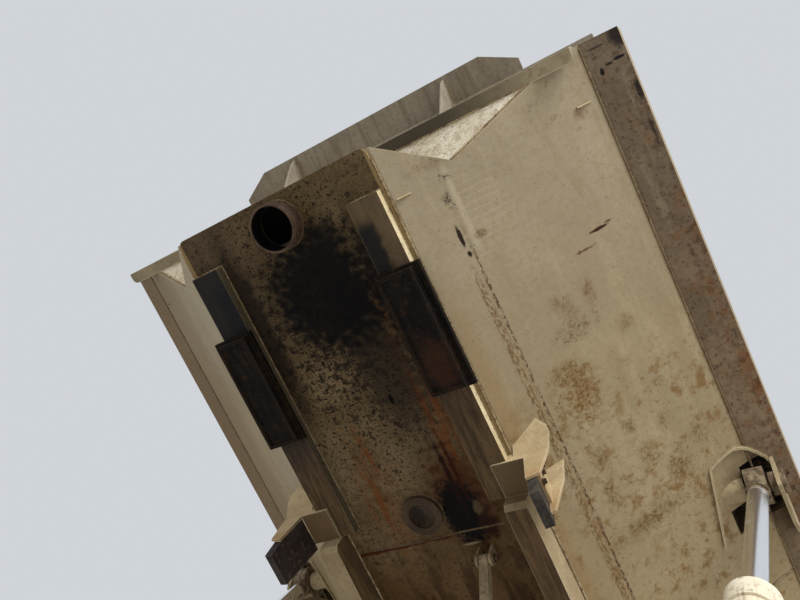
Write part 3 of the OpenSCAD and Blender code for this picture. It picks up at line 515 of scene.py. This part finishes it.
def railPaint(name):  # rest rails: bright sides, undersides dirty and in painted shade
    f = Finish(name, railTones, 4)
    f.spots("dust", 0.4, 34, 0.48, 0.66, 4, 0.7)
    dirtAndShade = f.mix(f.streaks((36, 4, 36), 0.36, 0.64, 5, 0.65), "dirt", "dryDirt")
    front = f.ease(f.y, 0.85, 0.5)
    inner = f.ease(abs(f.x) + f.ragged * 0.05, 0.440, 0.400) * f.ease(f.y, 0.22, 0.30)
    dirtAndShade = f.mix(front * inner * 0.95, dirtAndShade, "sootAndShade")
    dirtAndShade = f.mix(front * (1 - inner) * 0.5, dirtAndShade, "smoke")
    dirtAndShade = f.mix(f.ease(f.x, 0.0, -0.01) * f.ease(f.y, 1.3, 0.9) * 0.92, dirtAndShade, "rightSootAndShade")
    # the dirt and soot mix, with painted shade, on faces that look down or forward
    under = f.under().orMore(f.ease(f.faceY * -1, 0.7, 0.9))
    f.tone = f.mix(under, f.tone, dirtAndShade)
    # inboard faces darkened: soot and painted shade
    f.coat(f.inboard(), "inner", 0.9)
    f.spots("blackRust", 0.5, 60, 0.60, 0.68, 3)
    f.rub(0.005, 0.45)
    return f.feed({"Roughness": 0.64, "Normal": f.grit()})


padTones = {"dark": (9, 9, 12), "pale": (24, 20, 18), "scuffs": (46, 35, 26),
            "rust": (62, 38, 22), "dust": (72, 54, 36), "edge": (92, 72, 50)}


def padBlack(name):  # rest pads, and the rods' wipers
    f = Finish(name, padTones, 9)
    f.coat(f.streaks((50, 6, 50), 0.50, 0.66, 4, 0.65), "scuffs", 0.5)
    f.coat(f.patch((0.43, 0.88), (0.09, 0.16), 0.35, 2.2), "rust", 0.6)
    f.spots("dust", 0.25, 30, 0.54, 0.64, 5, 0.65)
    f.rub(0.007, 0.5)
    return f.feed({"Specular IOR Level": 0.15, "Roughness": 0.56 + f.noise(30, 3) * 0.25,
                   "Normal": f.grit(90, 0.0025)})


# "right" is painted shade for the blocks at x below 0
blockTones = {"dark": (46, 42, 40), "pale": (78, 72, 66), "right": (38, 27, 25),
              "dust": (92, 82, 70), "edge": (120, 110, 98)}


def blockBlack(name):
    f = Finish(name, blockTones, 12)
    # painted shade: the blocks at x below 0 darker
    f.coat(f.paintedLightSide(), "right", 0.8)
    f.spots("dust", 0.45, 45, 0.54, 0.66, 4, 0.65)
    f.rub(0.006, 0.6)
    return f.feed({"Roughness": 0.55, "Normal": f.grit(80)})


guideTones = {"dark": (178, 157, 120), "pale": (200, 180, 144), "dust": (168, 144, 104),
              "shoe": (86, 66, 44), "inner": (70, 52, 36), "low": (160, 120, 72),
              "edge": (232, 220, 190)}


def guidePaint(name):
    f = Finish(name, guideTones, 5)
    f.spots("dust", 0.5, 26, 0.46, 0.66, 5, 0.7)
    f.spots("oldRust", 0.5, 80, 0.62, 0.70, 3)
    f.coat(f.under(0.75, 0.95) * f.ease(f.z, -0.075, -0.065), "shoe", 0.92)
    f.coat(f.inboard(), "inner", 0.8)
    f.coat(f.ease(f.z, -0.11, -0.20), "low", 0.5)
    f.rub(0.006, 0.75)
    return f.feed({"Roughness": 0.62, "Normal": f.grit(70)})


beamTones = {"dark": (160, 142, 112), "pale": (182, 164, 132), "dust": (158, 134, 96),
             "dirt": (58, 42, 27), "dryDirt": (98, 75, 48), "nose": (92, 70, 46),
             "edge": (222, 206, 168)}


def beamPaint(name):  # hinge beams and the tube between them
    f = Finish(name, beamTones, 3)
    f.spots("dust", 0.45, 30, 0.46, 0.66, 4, 0.7)
    dirtAndShade = f.mix(f.streaks((30, 3, 30), 0.40, 0.66, 5, 0.65), "dirt", "dryDirt")
    # dirt streaks and painted shade: undersides darker, most at x above 0, and inboard faces
    # darker
    left = f.ease(f.x, -0.05, 0.05)
    f.coat(f.under(), dirtAndShade, 0.30 + left * 0.65)
    f.coat(f.inboard(), dirtAndShade, 0.9)
    f.coat(f.ease(f.faceY * -1, 0.5, 0.9) * left, "nose", 0.8)
    f.spots("oldRust", 0.5, 60, 0.60, 0.68, 3)
    f.rub(0.006, 0.6)
    return f.feed({"Roughness": 0.64, "Normal": f.grit(70)})


earTones = {"dark": (160, 144, 112), "pale": (182, 166, 134), "pocketShade": (62, 50, 38),
            "shadow": (22, 17, 14), "boss": (150, 134, 108), "dust": (128, 104, 72),
            "edge": (214, 198, 162)}


def earPaint(name):
    f = Finish(name, earTones, 4)
    depth = f.z - ((abs(f.x) - plates["footX"]) * plates["slope"] + plates["footZ"])
    # the pocket's inside gets painted shade, and its downward faces a painted shadow
    pocketShade = f.ease(depth, 0.004, 0.05) * f.far(1.385, 1.375)
    f.coat(pocketShade, "pocketShade", 0.85)
    f.coat(pocketShade * f.under(0.7, 0.95), "shadow", 0.95)
    f.coat(f.ease(f.fromHoistPin(), 0.0036, 0.0031) * pocketShade, "boss", 0.8)
    f.spots("dust", 0.5, 40, 0.52, 0.64, 5, 0.7)
    f.spots("darkRust", 0.6, 80, 0.60, 0.68, 3)
    f.rub(0.005, 0.65)
    awayY = f.faceY * (f.y - hoistPin["y"])  # the box's faces that look at the load
    awayX = f.faceX * f.x.sign() * (abs(f.x) - hoistPin["x"])
    away = f.ease(f.faceZ, 0.2, 0.4).orMore(f.ease(awayY.orMore(awayX), 0.01, 0.03))
    f.scour(away * f.ease(depth, 0.012, 0.018))
    return f.feed({"Roughness": 0.64, "Normal": f.grit()})


rodTones = {"chrome": (238, 240, 243), "film": (140, 130, 116), "dirt": (84, 68, 50),
            "dust": (150, 134, 108)}


def rodChrome(name):  # chrome with a dusty eye
    f = Finish(name, rodTones)
    eye = f.ease(f.fromHoistPin() ** 0.5, 0.150, 0.128)
    dirt = f.clouds(14, 0.60, 0.74, 5, 0.65)
    chrome = f.mix(dirt * 0.5, "chrome", "film")
    dusty = f.mix(f.clouds(30, 0.36, 0.64, 5, 0.65), "dirt", "dust")
    f.tone = f.mix(eye, chrome, dusty)
    return f.feed({"Specular IOR Level": 0.5, "Metallic": (1 - dirt * 0.6) * (1 - eye * 0.9),
                   "Roughness": (0.26 + dirt * 0.4).orMore(eye * 0.7),
                   "Normal": f.bump(f.noise(60, 4) * eye, 0.004)})


barrelTones = {"dark": (232, 221, 194), "pale": (246, 238, 216), "dust": (160, 136, 98),
               "runs": (132, 108, 76), "edge": (120, 92, 60)}


def barrelPaint(name):
    f = Finish(name, barrelTones, 5)
    f.spots("dust", 0.5, 24, 0.50, 0.66, 5, 0.7)
    f.spots("oldRust", 0.6, 60, 0.60, 0.68, 4)
    f.coat(f.streaks((20, 4, 2), 0.52, 0.68), "runs", 0.5)
    f.rub(0.006, 0.5)
    return f.feed({"Roughness": 0.56 + f.noise(28, 3) * 0.2, "Normal": f.grit(60, 0.002)})


pinTones = {"dark": (98, 82, 64), "pale": (150, 134, 108), "grease": (62, 44, 30),
            "edge": (186, 172, 146)}


def pinSteel(name):
    f = Finish(name, pinTones, 24)
    f.spots("grease", 0.6, 50, 0.52, 0.64, 4, 0.7)
    f.rub(0.004, 0.6)
    return f.feed({"Metallic": 0.25, "Roughness": 0.62, "Normal": f.grit(60, 0.004)})


propTones = {"dark": (128, 112, 88), "pale": (156, 140, 112), "dirt": (84, 64, 44),
             "inner": (92, 76, 56), "edge": (184, 168, 136)}


def propPaint(name):
    f = Finish(name, propTones, 8)
    f.spots("dirt", 0.6, 40, 0.50, 0.64, 5, 0.7)
    f.coat(f.inboard(), "inner", 0.6)
    f.rub(0.004, 0.6)
    return f.feed({"Roughness": 0.64, "Normal": f.grit()})


floorTones = {"dust": (146, 128, 96), "sootAndShade": (4, 4, 5)}


def scouredSteel(name):  # floor: bare inside, painted underneath
    f = Finish(name, floorTones, 1.4)
    f.spots("dust", 0.4, 30, 0.44, 0.66, 4, 0.7)
    f.wear(1.2)
    inside = f.ease(f.faceZ, 0.2, 0.5)
    f.scour(inside)
    # soot and painted shade underneath, around the inlet, where the duct's inside shows through
    # it
    f.coat(f.ease(f.fromInlet(), 0.50, 0.35) * (1 - inside), "sootAndShade", 1.0)
    dents = f.noise(3, 2) + f.noise(1, 4, 0.6, 0.3, f.stretch((60, 3, 60))) * 0.25
    return f.feed({"Metallic": inside * 0.35, "Roughness": 0.5 + f.noise(8, 4) * 0.25,
                   "Normal": f.bump(dents, 0.012)})


beadTones = {"dark": (140, 122, 92), "pale": (176, 158, 124), "rust": (104, 74, 46),
             "dirt": (66, 46, 30), "fold": (98, 80, 58), "pits": (44, 30, 22)}


def beadPaint(name):  # weld metal under paint, rusting through
    f = Finish(name, beadTones, 6)
    f.spots("rust", 0.75, 26, 0.50, 0.62, 4, 0.7)
    f.coat(f.far(0.40, 0.30) * f.ease(f.y, 0.0, 0.1) * f.under(-0.2, 0.3), "dirt", 0.8)
    f.coat(f.far(1.28, 1.295), "fold", 0.6)
    f.spots("pits", 0.6, 70, 0.58, 0.66, 3)
    return f.feed({"Roughness": 0.62})


boltTones = {"dark": (58, 44, 32), "pale": (92, 74, 54), "edge": (130, 112, 86)}


def boltSteel(name):
    f = Finish(name, boltTones, 40)
    f.rub(0.003, 0.5)
    return f.feed({"Metallic": 0.3, "Roughness": 0.6})


materials = {make.__name__: make(label) for make, label in (
    (slantPaint, "dustySlant"), (chinePaint, "rustyChine"), (wallPaint, "dustyWall"),
    (frontPaint, "speckledFront"), (canopyPaint, "streakedCanopy"), (kneePaint, "dustyKnee"),
    (ductPaint, "sootyDuct"), (pipePaint, "burntPipe"), (railPaint, "rubbedRail"),
    (padBlack, "blackPad"), (blockBlack, "blackBlock"), (guidePaint, "brightGuide"),
    (beamPaint, "dustyBeam"), (earPaint, "hoistPocket"), (rodChrome, "chromeRod"),
    (barrelPaint, "creamBarrel"), (pinSteel, "greasyPin"), (propPaint, "dustyProp"),
    (scouredSteel, "scouredSteel"), (beadPaint, "weldBead"), (boltSteel, "rustyBolt"),
)}
materials["rubber"] = padBlack("wiperRubber")
coats = {
    "duct_plate": "ductPaint", "duct_nose": "kneePaint", "floor_plate": "scouredSteel",
    "tail_chute": "scouredSteel", "tail_lip": "scouredSteel", "tail_beams": "wallPaint",
    "lower_side": "slantPaint", "chine": "chinePaint", "side_wall": "wallPaint",
    "top_rail": "wallPaint", "front_wall_lower": "frontPaint", "front_wall_upper": "canopyPaint",
    "knee_beam": "kneePaint", "front_rail": "canopyPaint", "canopy": "canopyPaint",
    "canopy_gussets": "canopyPaint", "exhaust_inlet": "pipePaint", "lower_port": "pipePaint",
    "rest_rail": "railPaint", "rest_pad": "padBlack", "hinge_beam": "beamPaint",
    "cross_tube": "beamPaint", "guide": "guidePaint", "wear_block": "blockBlack",
    "hoist_ear": "earPaint", "hoist_pin": "pinSteel", "pivot_pin": "pinSteel",
    "prop_lug": "propPaint", "safety_prop": "propPaint", "hoist_rod": "rodChrome",
    "hoist_barrel": "barrelPaint",
}
for part in frame["record"]["subparts"]:
    plain = part["node"].removesuffix("_left").removesuffix("_right")
    mesh = nodes[part["node"]].data
    mesh.materials.clear()
    mesh.materials.append(materials[coats[plain]])
print("finishes:", len(materials))


def row(x, y, z):  # a place on the body, as the frame has it
    return toRow @ Vector((x, y, z))


def tree(name, sizes):  # a node group with named inputs for sizes
    group = bpy.data.node_groups.new(name, "GeometryNodeTree")
    group.interface.new_socket("Geometry", in_out="INPUT", socket_type="NodeSocketGeometry")
    group.interface.new_socket("Geometry", in_out="OUTPUT", socket_type="NodeSocketGeometry")
    for label, value in sizes.items():
        socket = group.interface.new_socket(label, in_out="INPUT", socket_type="NodeSocketFloat")
        socket.default_value = value
    given = group.nodes.new("NodeGroupInput").outputs
    result = group.nodes.new("NodeGroupOutput").inputs

    def put(kind, settings=None, values=None):
        made = group.nodes.new(kind)
        for key, value in (settings or {}).items():
            setattr(made, key, value)
        for key, value in (values or {}).items():
            if isinstance(value, bpy.types.NodeSocket):
                group.links.new(value, made.inputs[key])
            else:
                made.inputs[key].default_value = value
        return made
    return group, given, result, put


def grow(name, mesh, group, sizes, finish, body, slot):  # runs the tree and keeps its plain mesh
    carrier = bpy.data.objects.new(name + "Path", mesh)
    bpy.context.scene.collection.objects.link(carrier)
    modifier = carrier.modifiers.new(name, "NODES")
    modifier.node_group = group
    for item in group.interface.items_tree:
        if item.name in sizes and item.in_out == "INPUT":
            modifier[item.identifier] = sizes[item.name]
    grown = carrier.evaluated_get(bpy.context.evaluated_depsgraph_get())
    plain = bpy.data.meshes.new_from_object(grown)
    carrier.modifiers.clear()
    bpy.data.objects.remove(carrier)
    return place(name, plain, finish, body, slot)


def place(name, mesh, finish, body, slot):
    if isinstance(mesh, bmesh.types.BMesh):
        form, mesh = mesh, bpy.data.meshes.new(name)
        form.to_mesh(mesh)
        form.free()
    mesh.materials.clear()
    mesh.materials.append(materials[finish])
    piece = bpy.data.objects.new(name, mesh)
    bpy.context.scene.collection.objects.link(piece)
    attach(piece, body)
    return piece


weld = {"step": 0.0075, "radius": 0.0052, "ripple": 0.20, "wave": 2.3, "chance": 0.8, "sides": 6,
        "seed": 4}
weldTree, given, result, put = tree("weldBead", {"Step": weld["step"], "Radius": weld["radius"],
                                                 "Ripple": weld["ripple"]})
path = put("GeometryNodeMeshToCurve", None, {"Mesh": given["Geometry"]})
path = put("GeometryNodeResampleCurve", {"mode": "LENGTH"}, {
    "Curve": path.outputs[0], "Length": given["Step"]})
turn = put("ShaderNodeMath", {"operation": "MULTIPLY"}, {
    0: put("GeometryNodeInputIndex").outputs[0], 1: weld["wave"]})
wave = put("ShaderNodeMath", {"operation": "SINE"}, {0: turn.outputs[0]})
chance = put("FunctionNodeRandomValue", {"data_type": "FLOAT"}, {
    2: -weld["chance"], 3: weld["chance"], "Seed": weld["seed"]})
uneven = put("ShaderNodeMath", {"operation": "ADD"}, {
    0: wave.outputs[0], 1: next(s for s in chance.outputs if s.enabled)})
swell = put("ShaderNodeMath", {"operation": "MULTIPLY_ADD"}, {
    0: uneven.outputs[0], 1: given["Ripple"], 2: 1.0})
size = put("ShaderNodeMath", {"operation": "MULTIPLY"}, {
    0: swell.outputs[0], 1: given["Radius"]})
ring = put("GeometryNodeCurvePrimitiveCircle", {"mode": "RADIUS"}, {
    "Resolution": weld["sides"], "Radius": 1.0})
bead = put("GeometryNodeCurveToMesh", None, {
    "Curve": path.outputs[0], "Profile Curve": ring.outputs[0], "Scale": size.outputs[0],
    "Fill Caps": True})
bead = put("GeometryNodeSetShadeSmooth", None, {"Geometry": bead.outputs[0]})
bead = put("GeometryNodeRealizeInstances", None, {"Geometry": bead.outputs[0]})
bead = put("GeometryNodeSetMaterial", None, {
    "Geometry": bead.outputs[0], "Material": materials["beadPaint"]})
weldTree.links.new(bead.outputs[0], result["Geometry"])


def circle(centre, radius, axis, count=40):  # round path square to the x or the z axis
    points = []
    for i in range(count + 1):
        a = 2 * math.pi * i / count
        side, up = radius * math.cos(a), radius * math.sin(a)
        offset = (side, up, 0) if axis == "z" else (0, side, up)
        points.append(tuple(c + o for c, o in zip(centre, offset)))
    return points


bothSides = [  # drawn for x above 0, repeated below it
    [(1.300, 0.01, 0.648), (1.300, 4.74, 0.648)],  # fold between the side and the chine
    [(0.506, 0.05, 0.003), (0.506, 3.29, 0.003)],  # duct's edge
    [(0.487, 0.173, 0.0), (0.487, 1.53, 0.0)],  # rest rail
    [(0.343, 1.53, 0.0), (0.343, 0.173, 0.0), (0.487, 0.173, 0.0)],
    [(0.420, 1.545, 0.0), (0.420, 3.28, 0.0)],  # hinge beam
    [(0.521, 1.545, 0.018), (0.521, 3.28, 0.018)],
    [(0.726, 0.190, 0.200), (1.215, -0.003, 0.597)],  # V between the side and the front wall
    [(0.55, tailWeld, skinZ(0.55)), (1.29, tailWeld, skinZ(1.29))],
    [(0.537, -0.21, 1.399), (0.537, -0.068, 1.399), (0.537, -0.068, 1.335)],  # gussets
    [(0.523, -0.21, 1.399), (0.523, -0.068, 1.399), (0.523, -0.068, 1.335)],
    circle((pivotBoss["x"], pivotBoss["y"], pivotBoss["z"]), pivotBoss["bead"], "x"),
]
# The hoist ear's outline on the side, from its pin, in x and y
earRim = [(-0.225, 0.195), (-0.161, -0.170), (-0.120, -0.186), (-0.071, -0.194), (-0.040, -0.195),
          (-0.004, -0.176), (0.024, -0.148), (0.049, -0.117), (0.077, -0.075), (0.090, -0.025)]
rimPath = []
rimSteps = 8  # short, so that it follows the fold
for (ax, ay), (bx, by) in zip(earRim, earRim[1:]):
    for i in range(rimSteps):
        dx, dy = ax + (bx - ax) * i / rimSteps, ay + (by - ay) * i / rimSteps
        x = hoistPin["x"] + dx
        rimPath.append((x, hoistPin["y"] + dy, skinZ(x)))
bothSides.append(rimPath)
midLine = [
    [(-1.08, 0.052, 0.484), (1.08, 0.052, 0.484)],  # under the knee beam
    [(-0.94, -0.067, 1.399), (0.94, -0.067, 1.399)],  # canopy on the front rail
    [(-0.34, 1.665, 0.0), (-0.1, 1.672, 0.0), (0.12, ductWeld, 0.0), (0.34, 1.672, 0.0)],
    circle((inlet["x"], inlet["y"], 0.0), inlet["bead"], "z"),
    circle((0.0, port["y"], 0.0), port["bead"], "z"),
]
welds = bmesh.new()
for line in midLine + bothSides + [[(-x, y, z) for x, y, z in line] for line in bothSides]:
    points = [welds.verts.new(row(*p)) for p in line]
    for a, b in zip(points, points[1:]):
        welds.edges.new((a, b))
weldMesh = bpy.data.meshes.new("weldPaths")
welds.to_mesh(weldMesh)
welds.free()
grow("weld_beads", weldMesh, weldTree, {"Radius": weld["radius"]}, "beadPaint", "dump_body",
     "cream_paint")
print("weld beads laid")

bolt = {"flats": 0.011, "height": 0.010, "washer": 0.0165, "washerHeight": 0.004,
        "washerSides": 18, "turn": 1.05, "seed": 2}
boltTree, given, result, put = tree("hexBolt", {
    "Flats": bolt["flats"], "Height": bolt["height"], "Washer": bolt["washer"],
    "Washer height": bolt["washerHeight"]})
head = put("GeometryNodeMeshCylinder", None, {
    "Vertices": 6, "Radius": given["Flats"], "Depth": given["Height"]})
rise = put("ShaderNodeMath", {"operation": "MULTIPLY_ADD"}, {
    0: given["Height"], 1: 0.5, 2: given["Washer height"]})
lift = put("ShaderNodeCombineXYZ", None, {"Z": rise.outputs[0]})
head = put("GeometryNodeTransform", None, {
    "Geometry": head.outputs["Mesh"], "Translation": lift.outputs[0]})
flat = put("GeometryNodeMeshCylinder", None, {
    "Vertices": bolt["washerSides"], "Radius": given["Washer"], "Depth": given["Washer height"]})
both = put("GeometryNodeJoinGeometry")
boltTree.links.new(head.outputs[0], both.inputs[0])
boltTree.links.new(flat.outputs["Mesh"], both.inputs[0])
facing = put("GeometryNodeInputNamedAttribute", {"data_type": "FLOAT_VECTOR"}, {"Name": "facing"})
aim = put("FunctionNodeAlignRotationToVector", {"axis": "Z"}, {
    "Vector": next(s for s in facing.outputs if s.enabled)})
spread = put("GeometryNodeInstanceOnPoints", None, {
    "Points": given["Geometry"], "Instance": both.outputs[0], "Rotation": aim.outputs[0]})
chance = put("FunctionNodeRandomValue", {"data_type": "FLOAT"}, {
    2: 0.0, 3: bolt["turn"], "Seed": bolt["seed"]})
spin = put("ShaderNodeCombineXYZ", None, {"Z": next(s for s in chance.outputs if s.enabled)})
spread = put("GeometryNodeRotateInstances", None, {
    "Instances": spread.outputs[0], "Rotation": spin.outputs[0]})
spread = put("GeometryNodeRealizeInstances", None, {"Geometry": spread.outputs[0]})
spread = put("GeometryNodeSetMaterial", None, {
    "Geometry": spread.outputs[0], "Material": materials["boltSteel"]})
boltTree.links.new(spread.outputs[0], result["Geometry"])


def bolts(name, places, sizes, body, slot):  # places: point and the way its head looks
    mesh = bpy.data.meshes.new(name + "Spots")
    mesh.from_pydata([row(*at) for at, _ in places], [], [])
    looks = mesh.attributes.new("facing", "FLOAT_VECTOR", "POINT")
    for i, (_, way) in enumerate(places):
        looks.data[i].vector = toRow.to_3x3() @ Vector(way)
    return grow(name, mesh, boltTree, sizes, "boltSteel", body, slot)


# The plate that holds each wear block leans outwards by its flare. Its bolts sit this far down.
backPlate = {"x": 0.565, "y": 1.430, "z": -0.046, "out": 0.052, "flare": math.radians(12),
             "bolts": (0.018, 0.075, 0.150)}
keeper = {"x": 1.417, "long": 0.110, "wide": 0.044, "thick": 0.008, "round": 0.003,
          "bolt": 0.040}
propBolt = {"Flats": 0.013, "Washer": 0.018}
lean, upright = math.sin(backPlate["flare"]), math.cos(backPlate["flare"])
bodyBolts = []
for s in (-1, 1):
    for down in backPlate["bolts"]:
        x = backPlate["x"] + down * lean + backPlate["out"] * upright
        z = backPlate["z"] - down * upright + backPlate["out"] * lean
        bodyBolts.append(((s * x, backPlate["y"], z), (s * upright, 0, lean)))
    for dy in (-keeper["bolt"], keeper["bolt"]):
        bodyBolts.append(((s * (keeper["x"] + keeper["thick"]), hoistPin["y"] + dy,
                           hoistPin["z"]), (s, 0, 0)))
bolts("body_bolts", bodyBolts, {}, "dump_body", "pin_steel")
bolts("prop_bolts", [((propPin["left"], propPin["y"], propPin["z"]), (1, 0, 0)),
                     ((propPin["right"], propPin["y"], propPin["z"]), (-1, 0, 0))],
      propBolt, "dump_body", "pin_steel")


def slab(name, corners, thick, rounding, finish, body, slot):
    # a plate: corners in the body's axes, thickened along their normal, its edges rounded
    form = bmesh.new()
    face = form.faces.new([form.verts.new(row(*p)) for p in corners])
    form.normal_update()
    grown = bmesh.ops.extrude_face_region(form, geom=[face])["geom"]
    bmesh.ops.translate(form, verts=[v for v in grown if isinstance(v, bmesh.types.BMVert)],
                        vec=face.normal * thick)
    bmesh.ops.recalc_face_normals(form, faces=form.faces)
    bmesh.ops.bevel(form, geom=form.edges, offset=rounding, segments=2, affect="EDGES",
                    profile=0.5, clamp_overlap=True)
    return place(name, form, finish, body, slot)


sides = {"left": 1, "right": -1}
cutCorners = ((-1, -0.6), (-0.8, -1), (0.8, -1), (1, -0.6), (1, 0.6), (0.8, 1), (-0.8, 1),
              (-1, 0.6))  # a keeper's outline, from its middle
for side, s in sides.items():
    corners = [(s * keeper["x"], hoistPin["y"] + keeper["long"] / 2 * a,
                hoistPin["z"] + keeper["wide"] / 2 * b) for a, b in cutCorners]
    slab("pin_keeper_" + side, corners if s > 0 else corners[::-1], keeper["thick"],
         keeper["round"], "pinSteel", "dump_body", "pin_steel")

# Small lifting tabs on the sides, each from its start to its end, out from the middle
tab = {"thick": 0.006, "high": 0.014, "low": 0.4, "cut": 0.008, "sunk": 0.002, "round": 0.002}
tabs = {"tab_outer": {"start": 1.205, "end": 1.268, "y": 0.230},
        "tab_inner": {"start": 0.520, "end": 0.572, "y": 0.240}}
for label, one in tabs.items():
    start, end, y = one["start"], one["end"], one["y"]
    for side, s in sides.items():
        corners = [(s * start, y, skinZ(start) + tab["sunk"]),
                   (s * end, y, skinZ(end) + tab["sunk"]),
                   (s * end, y, skinZ(end) - tab["high"] * tab["low"]),
                   (s * (start + tab["cut"]), y, skinZ(start) - tab["high"])]
        slab(label + "_" + side, corners, tab["thick"], tab["round"], "guidePaint", "dump_body",
             "cream_paint")
print("bolts, keepers and tabs fitted")


def lathe(name, profile, start, way, finish, body, slot, count=48):
    # turns a closed profile of (along, radius) points about a line in the frame
    turnTo = way.normalized().to_track_quat("Z", "Y").to_matrix()
    form = bmesh.new()
    rings = []
    for along, radius in profile:
        ring = []
        for i in range(count):
            a = 2 * math.pi * i / count
            spot = Vector((radius * math.cos(a), radius * math.sin(a), along))
            ring.append(form.verts.new(start + turnTo @ spot))
        rings.append(ring)
    for one, two in zip(rings, rings[1:] + rings[:1]):
        for i in range(count):
            j = (i + 1) % count
            form.faces.new((one[i], one[j], two[j], two[i]))
    bmesh.ops.recalc_face_normals(form, faces=form.faces)
    for face in form.faces:
        face.smooth = True
    return place(name, form, finish, body, slot)


# Measured along each hoist from its pin, and out from its middle. A profile is (along, out).
hoist = {"way": (-0.068015, -0.696798, -0.714036), "capAt": 1.070, "rod": 0.0436,
         "wiper": 0.056, "wiperHigh": 0.011, "ringOut": 0.072, "ringHigh": 0.006,
         "portAt": 2.72, "portR": 0.024, "portHigh": 0.030, "plugR": 0.014, "barrel": 0.080,
         "footEnd": 3.074}
nipple = [(0, 0.0005), (0, 0.007), (0.005, 0.007), (0.006, 0.004), (0.011, 0.0035),
          (0.013, 0.005), (0.016, 0.004), (0.017, 0.0005)]
for side, s in sides.items():
    way = Vector((hoist["way"][0] * s, *hoist["way"][1:]))
    pin = row(hoistPin["x"] * s, hoistPin["y"], hoistPin["z"])
    barrel = "barrel_" + side
    cap = pin + way * hoist["capAt"]
    r, w, h = hoist["rod"], hoist["wiper"], hoist["wiperHigh"]
    lathe("rod_wiper_" + side, [(0.002, r), (0.002, w), (-h * 0.5, w), (-h * 0.8, w - 0.002),
                                (-h, w - 0.006), (-h, r + 0.003), (-h * 0.7, r)],
          cap, way, "rubber", barrel, "pad_rubber")
    w, h, t = hoist["ringOut"], hoist["ringHigh"], hoist["wiper"] + 0.0006
    lathe("gland_ring_" + side, [(0.002, t), (0.002, w), (-h * 0.6, w), (-h, w - 0.002), (-h, t)],
          cap, way, "barrelPaint", barrel, "barrel_paint")
    out = way.cross(Vector((1, 0, 0))).normalized()
    socket = pin + way * hoist["portAt"] + out * (hoist["barrel"] - 0.004)
    p, h, g = hoist["portR"], hoist["portHigh"], hoist["plugR"]
    lathe("hose_port_" + side, [(0, 0.004), (0, p), (h - 0.003, p), (h, p - 0.003),
                                (h, g), (h + 0.004, g), (h + 0.012, g - 0.001),
                                (h + 0.013, 0.004)],
          socket, out, "barrelPaint", barrel, "barrel_paint", 32)
    foot = pin + way * (hoist["footEnd"] - 0.001)
    lathe("grease_nipple_" + side, nipple, foot, way, "boltSteel", barrel, "pin_steel", 18)
print("hoist fittings fitted")

studio = {"floorZ": -1.25, "floorSize": 60, "floorColour": (205, 202, 196), "floorRough": 0.9,
          "skyColour": (207, 211, 216), "skyLight": 0.62, "keyPower": 1400, "keySize": 6,
          "keyAt": (9.5, -8.0, 8.5), "keyAim": (0, 0, 0.5)}

bpy.ops.mesh.primitive_plane_add(size=studio["floorSize"], location=(0, 0, studio["floorZ"]))
floor = bpy.context.object
floor.name = "studioFloor"
floorPaint = bpy.data.materials.new("paleFloor")
floorPaint.use_nodes = True
floorShader = floorPaint.node_tree.nodes["Principled BSDF"].inputs
floorShader["Base Color"].default_value = colour(studio["floorColour"])
floorShader["Roughness"].default_value = studio["floorRough"]
floor.data.materials.append(floorPaint)

world = bpy.data.worlds.new("paleSky")
bpy.context.scene.world = world
world.use_nodes = True
sky = world.node_tree
skyLight = sky.nodes["Background"]
skyLight.inputs["Color"].default_value = (1, 1, 1, 1)
skyLight.inputs["Strength"].default_value = studio["skyLight"]
backdrop = sky.nodes.new("ShaderNodeBackground")
backdrop.inputs["Color"].default_value = colour(studio["skyColour"])
rays = sky.nodes.new("ShaderNodeLightPath")
seen = rays.outputs["Is Camera Ray"]
for ray in ("Is Glossy Ray", "Is Transmission Ray"):  # what metal shows is the backdrop too
    either = sky.nodes.new("ShaderNodeMath")
    either.operation = "MAXIMUM"
    sky.links.new(seen, either.inputs[0])
    sky.links.new(rays.outputs[ray], either.inputs[1])
    seen = either.outputs[0]
choose = sky.nodes.new("ShaderNodeMixShader")
sky.links.new(seen, choose.inputs[0])
sky.links.new(skyLight.outputs[0], choose.inputs[1])
sky.links.new(backdrop.outputs[0], choose.inputs[2])
sky.links.new(choose.outputs[0], sky.nodes["World Output"].inputs["Surface"])

key = bpy.data.lights.new("softKey", "AREA")
key.energy = studio["keyPower"]
key.size = studio["keySize"]
keyLamp = bpy.data.objects.new("softKey", key)
keyLamp.location = studio["keyAt"]
aimed = Vector(studio["keyAim"]) - keyLamp.location
keyLamp.rotation_euler = aimed.to_track_quat("-Z", "Y").to_euler()
bpy.context.scene.collection.objects.link(keyLamp)

# Where the photograph was taken from: angles in degrees, lens and sensor in millimetres
view = {"at": (1.5065, -4.0576, -0.3853), "heading": 35.556, "up": 44.386, "roll": 4.697,
        "lens": 30.90, "sensor": 36}
lens = bpy.data.cameras.new("photoCamera")
lens.lens = view["lens"]
lens.sensor_width = view["sensor"]
camera = bpy.data.objects.new("photoCamera", lens)
camera.matrix_world = (Matrix.Translation(view["at"])
                       @ Matrix.Rotation(math.radians(view["heading"]), 4, "Z")
                       @ Matrix.Rotation(math.radians(90 + view["up"]), 4, "X")
                       @ Matrix.Rotation(math.radians(view["roll"]), 4, "Z"))
bpy.context.scene.collection.objects.link(camera)
bpy.context.scene.camera = camera
bpy.context.scene.view_settings.view_transform = "Standard"
print("floor, light and camera set")
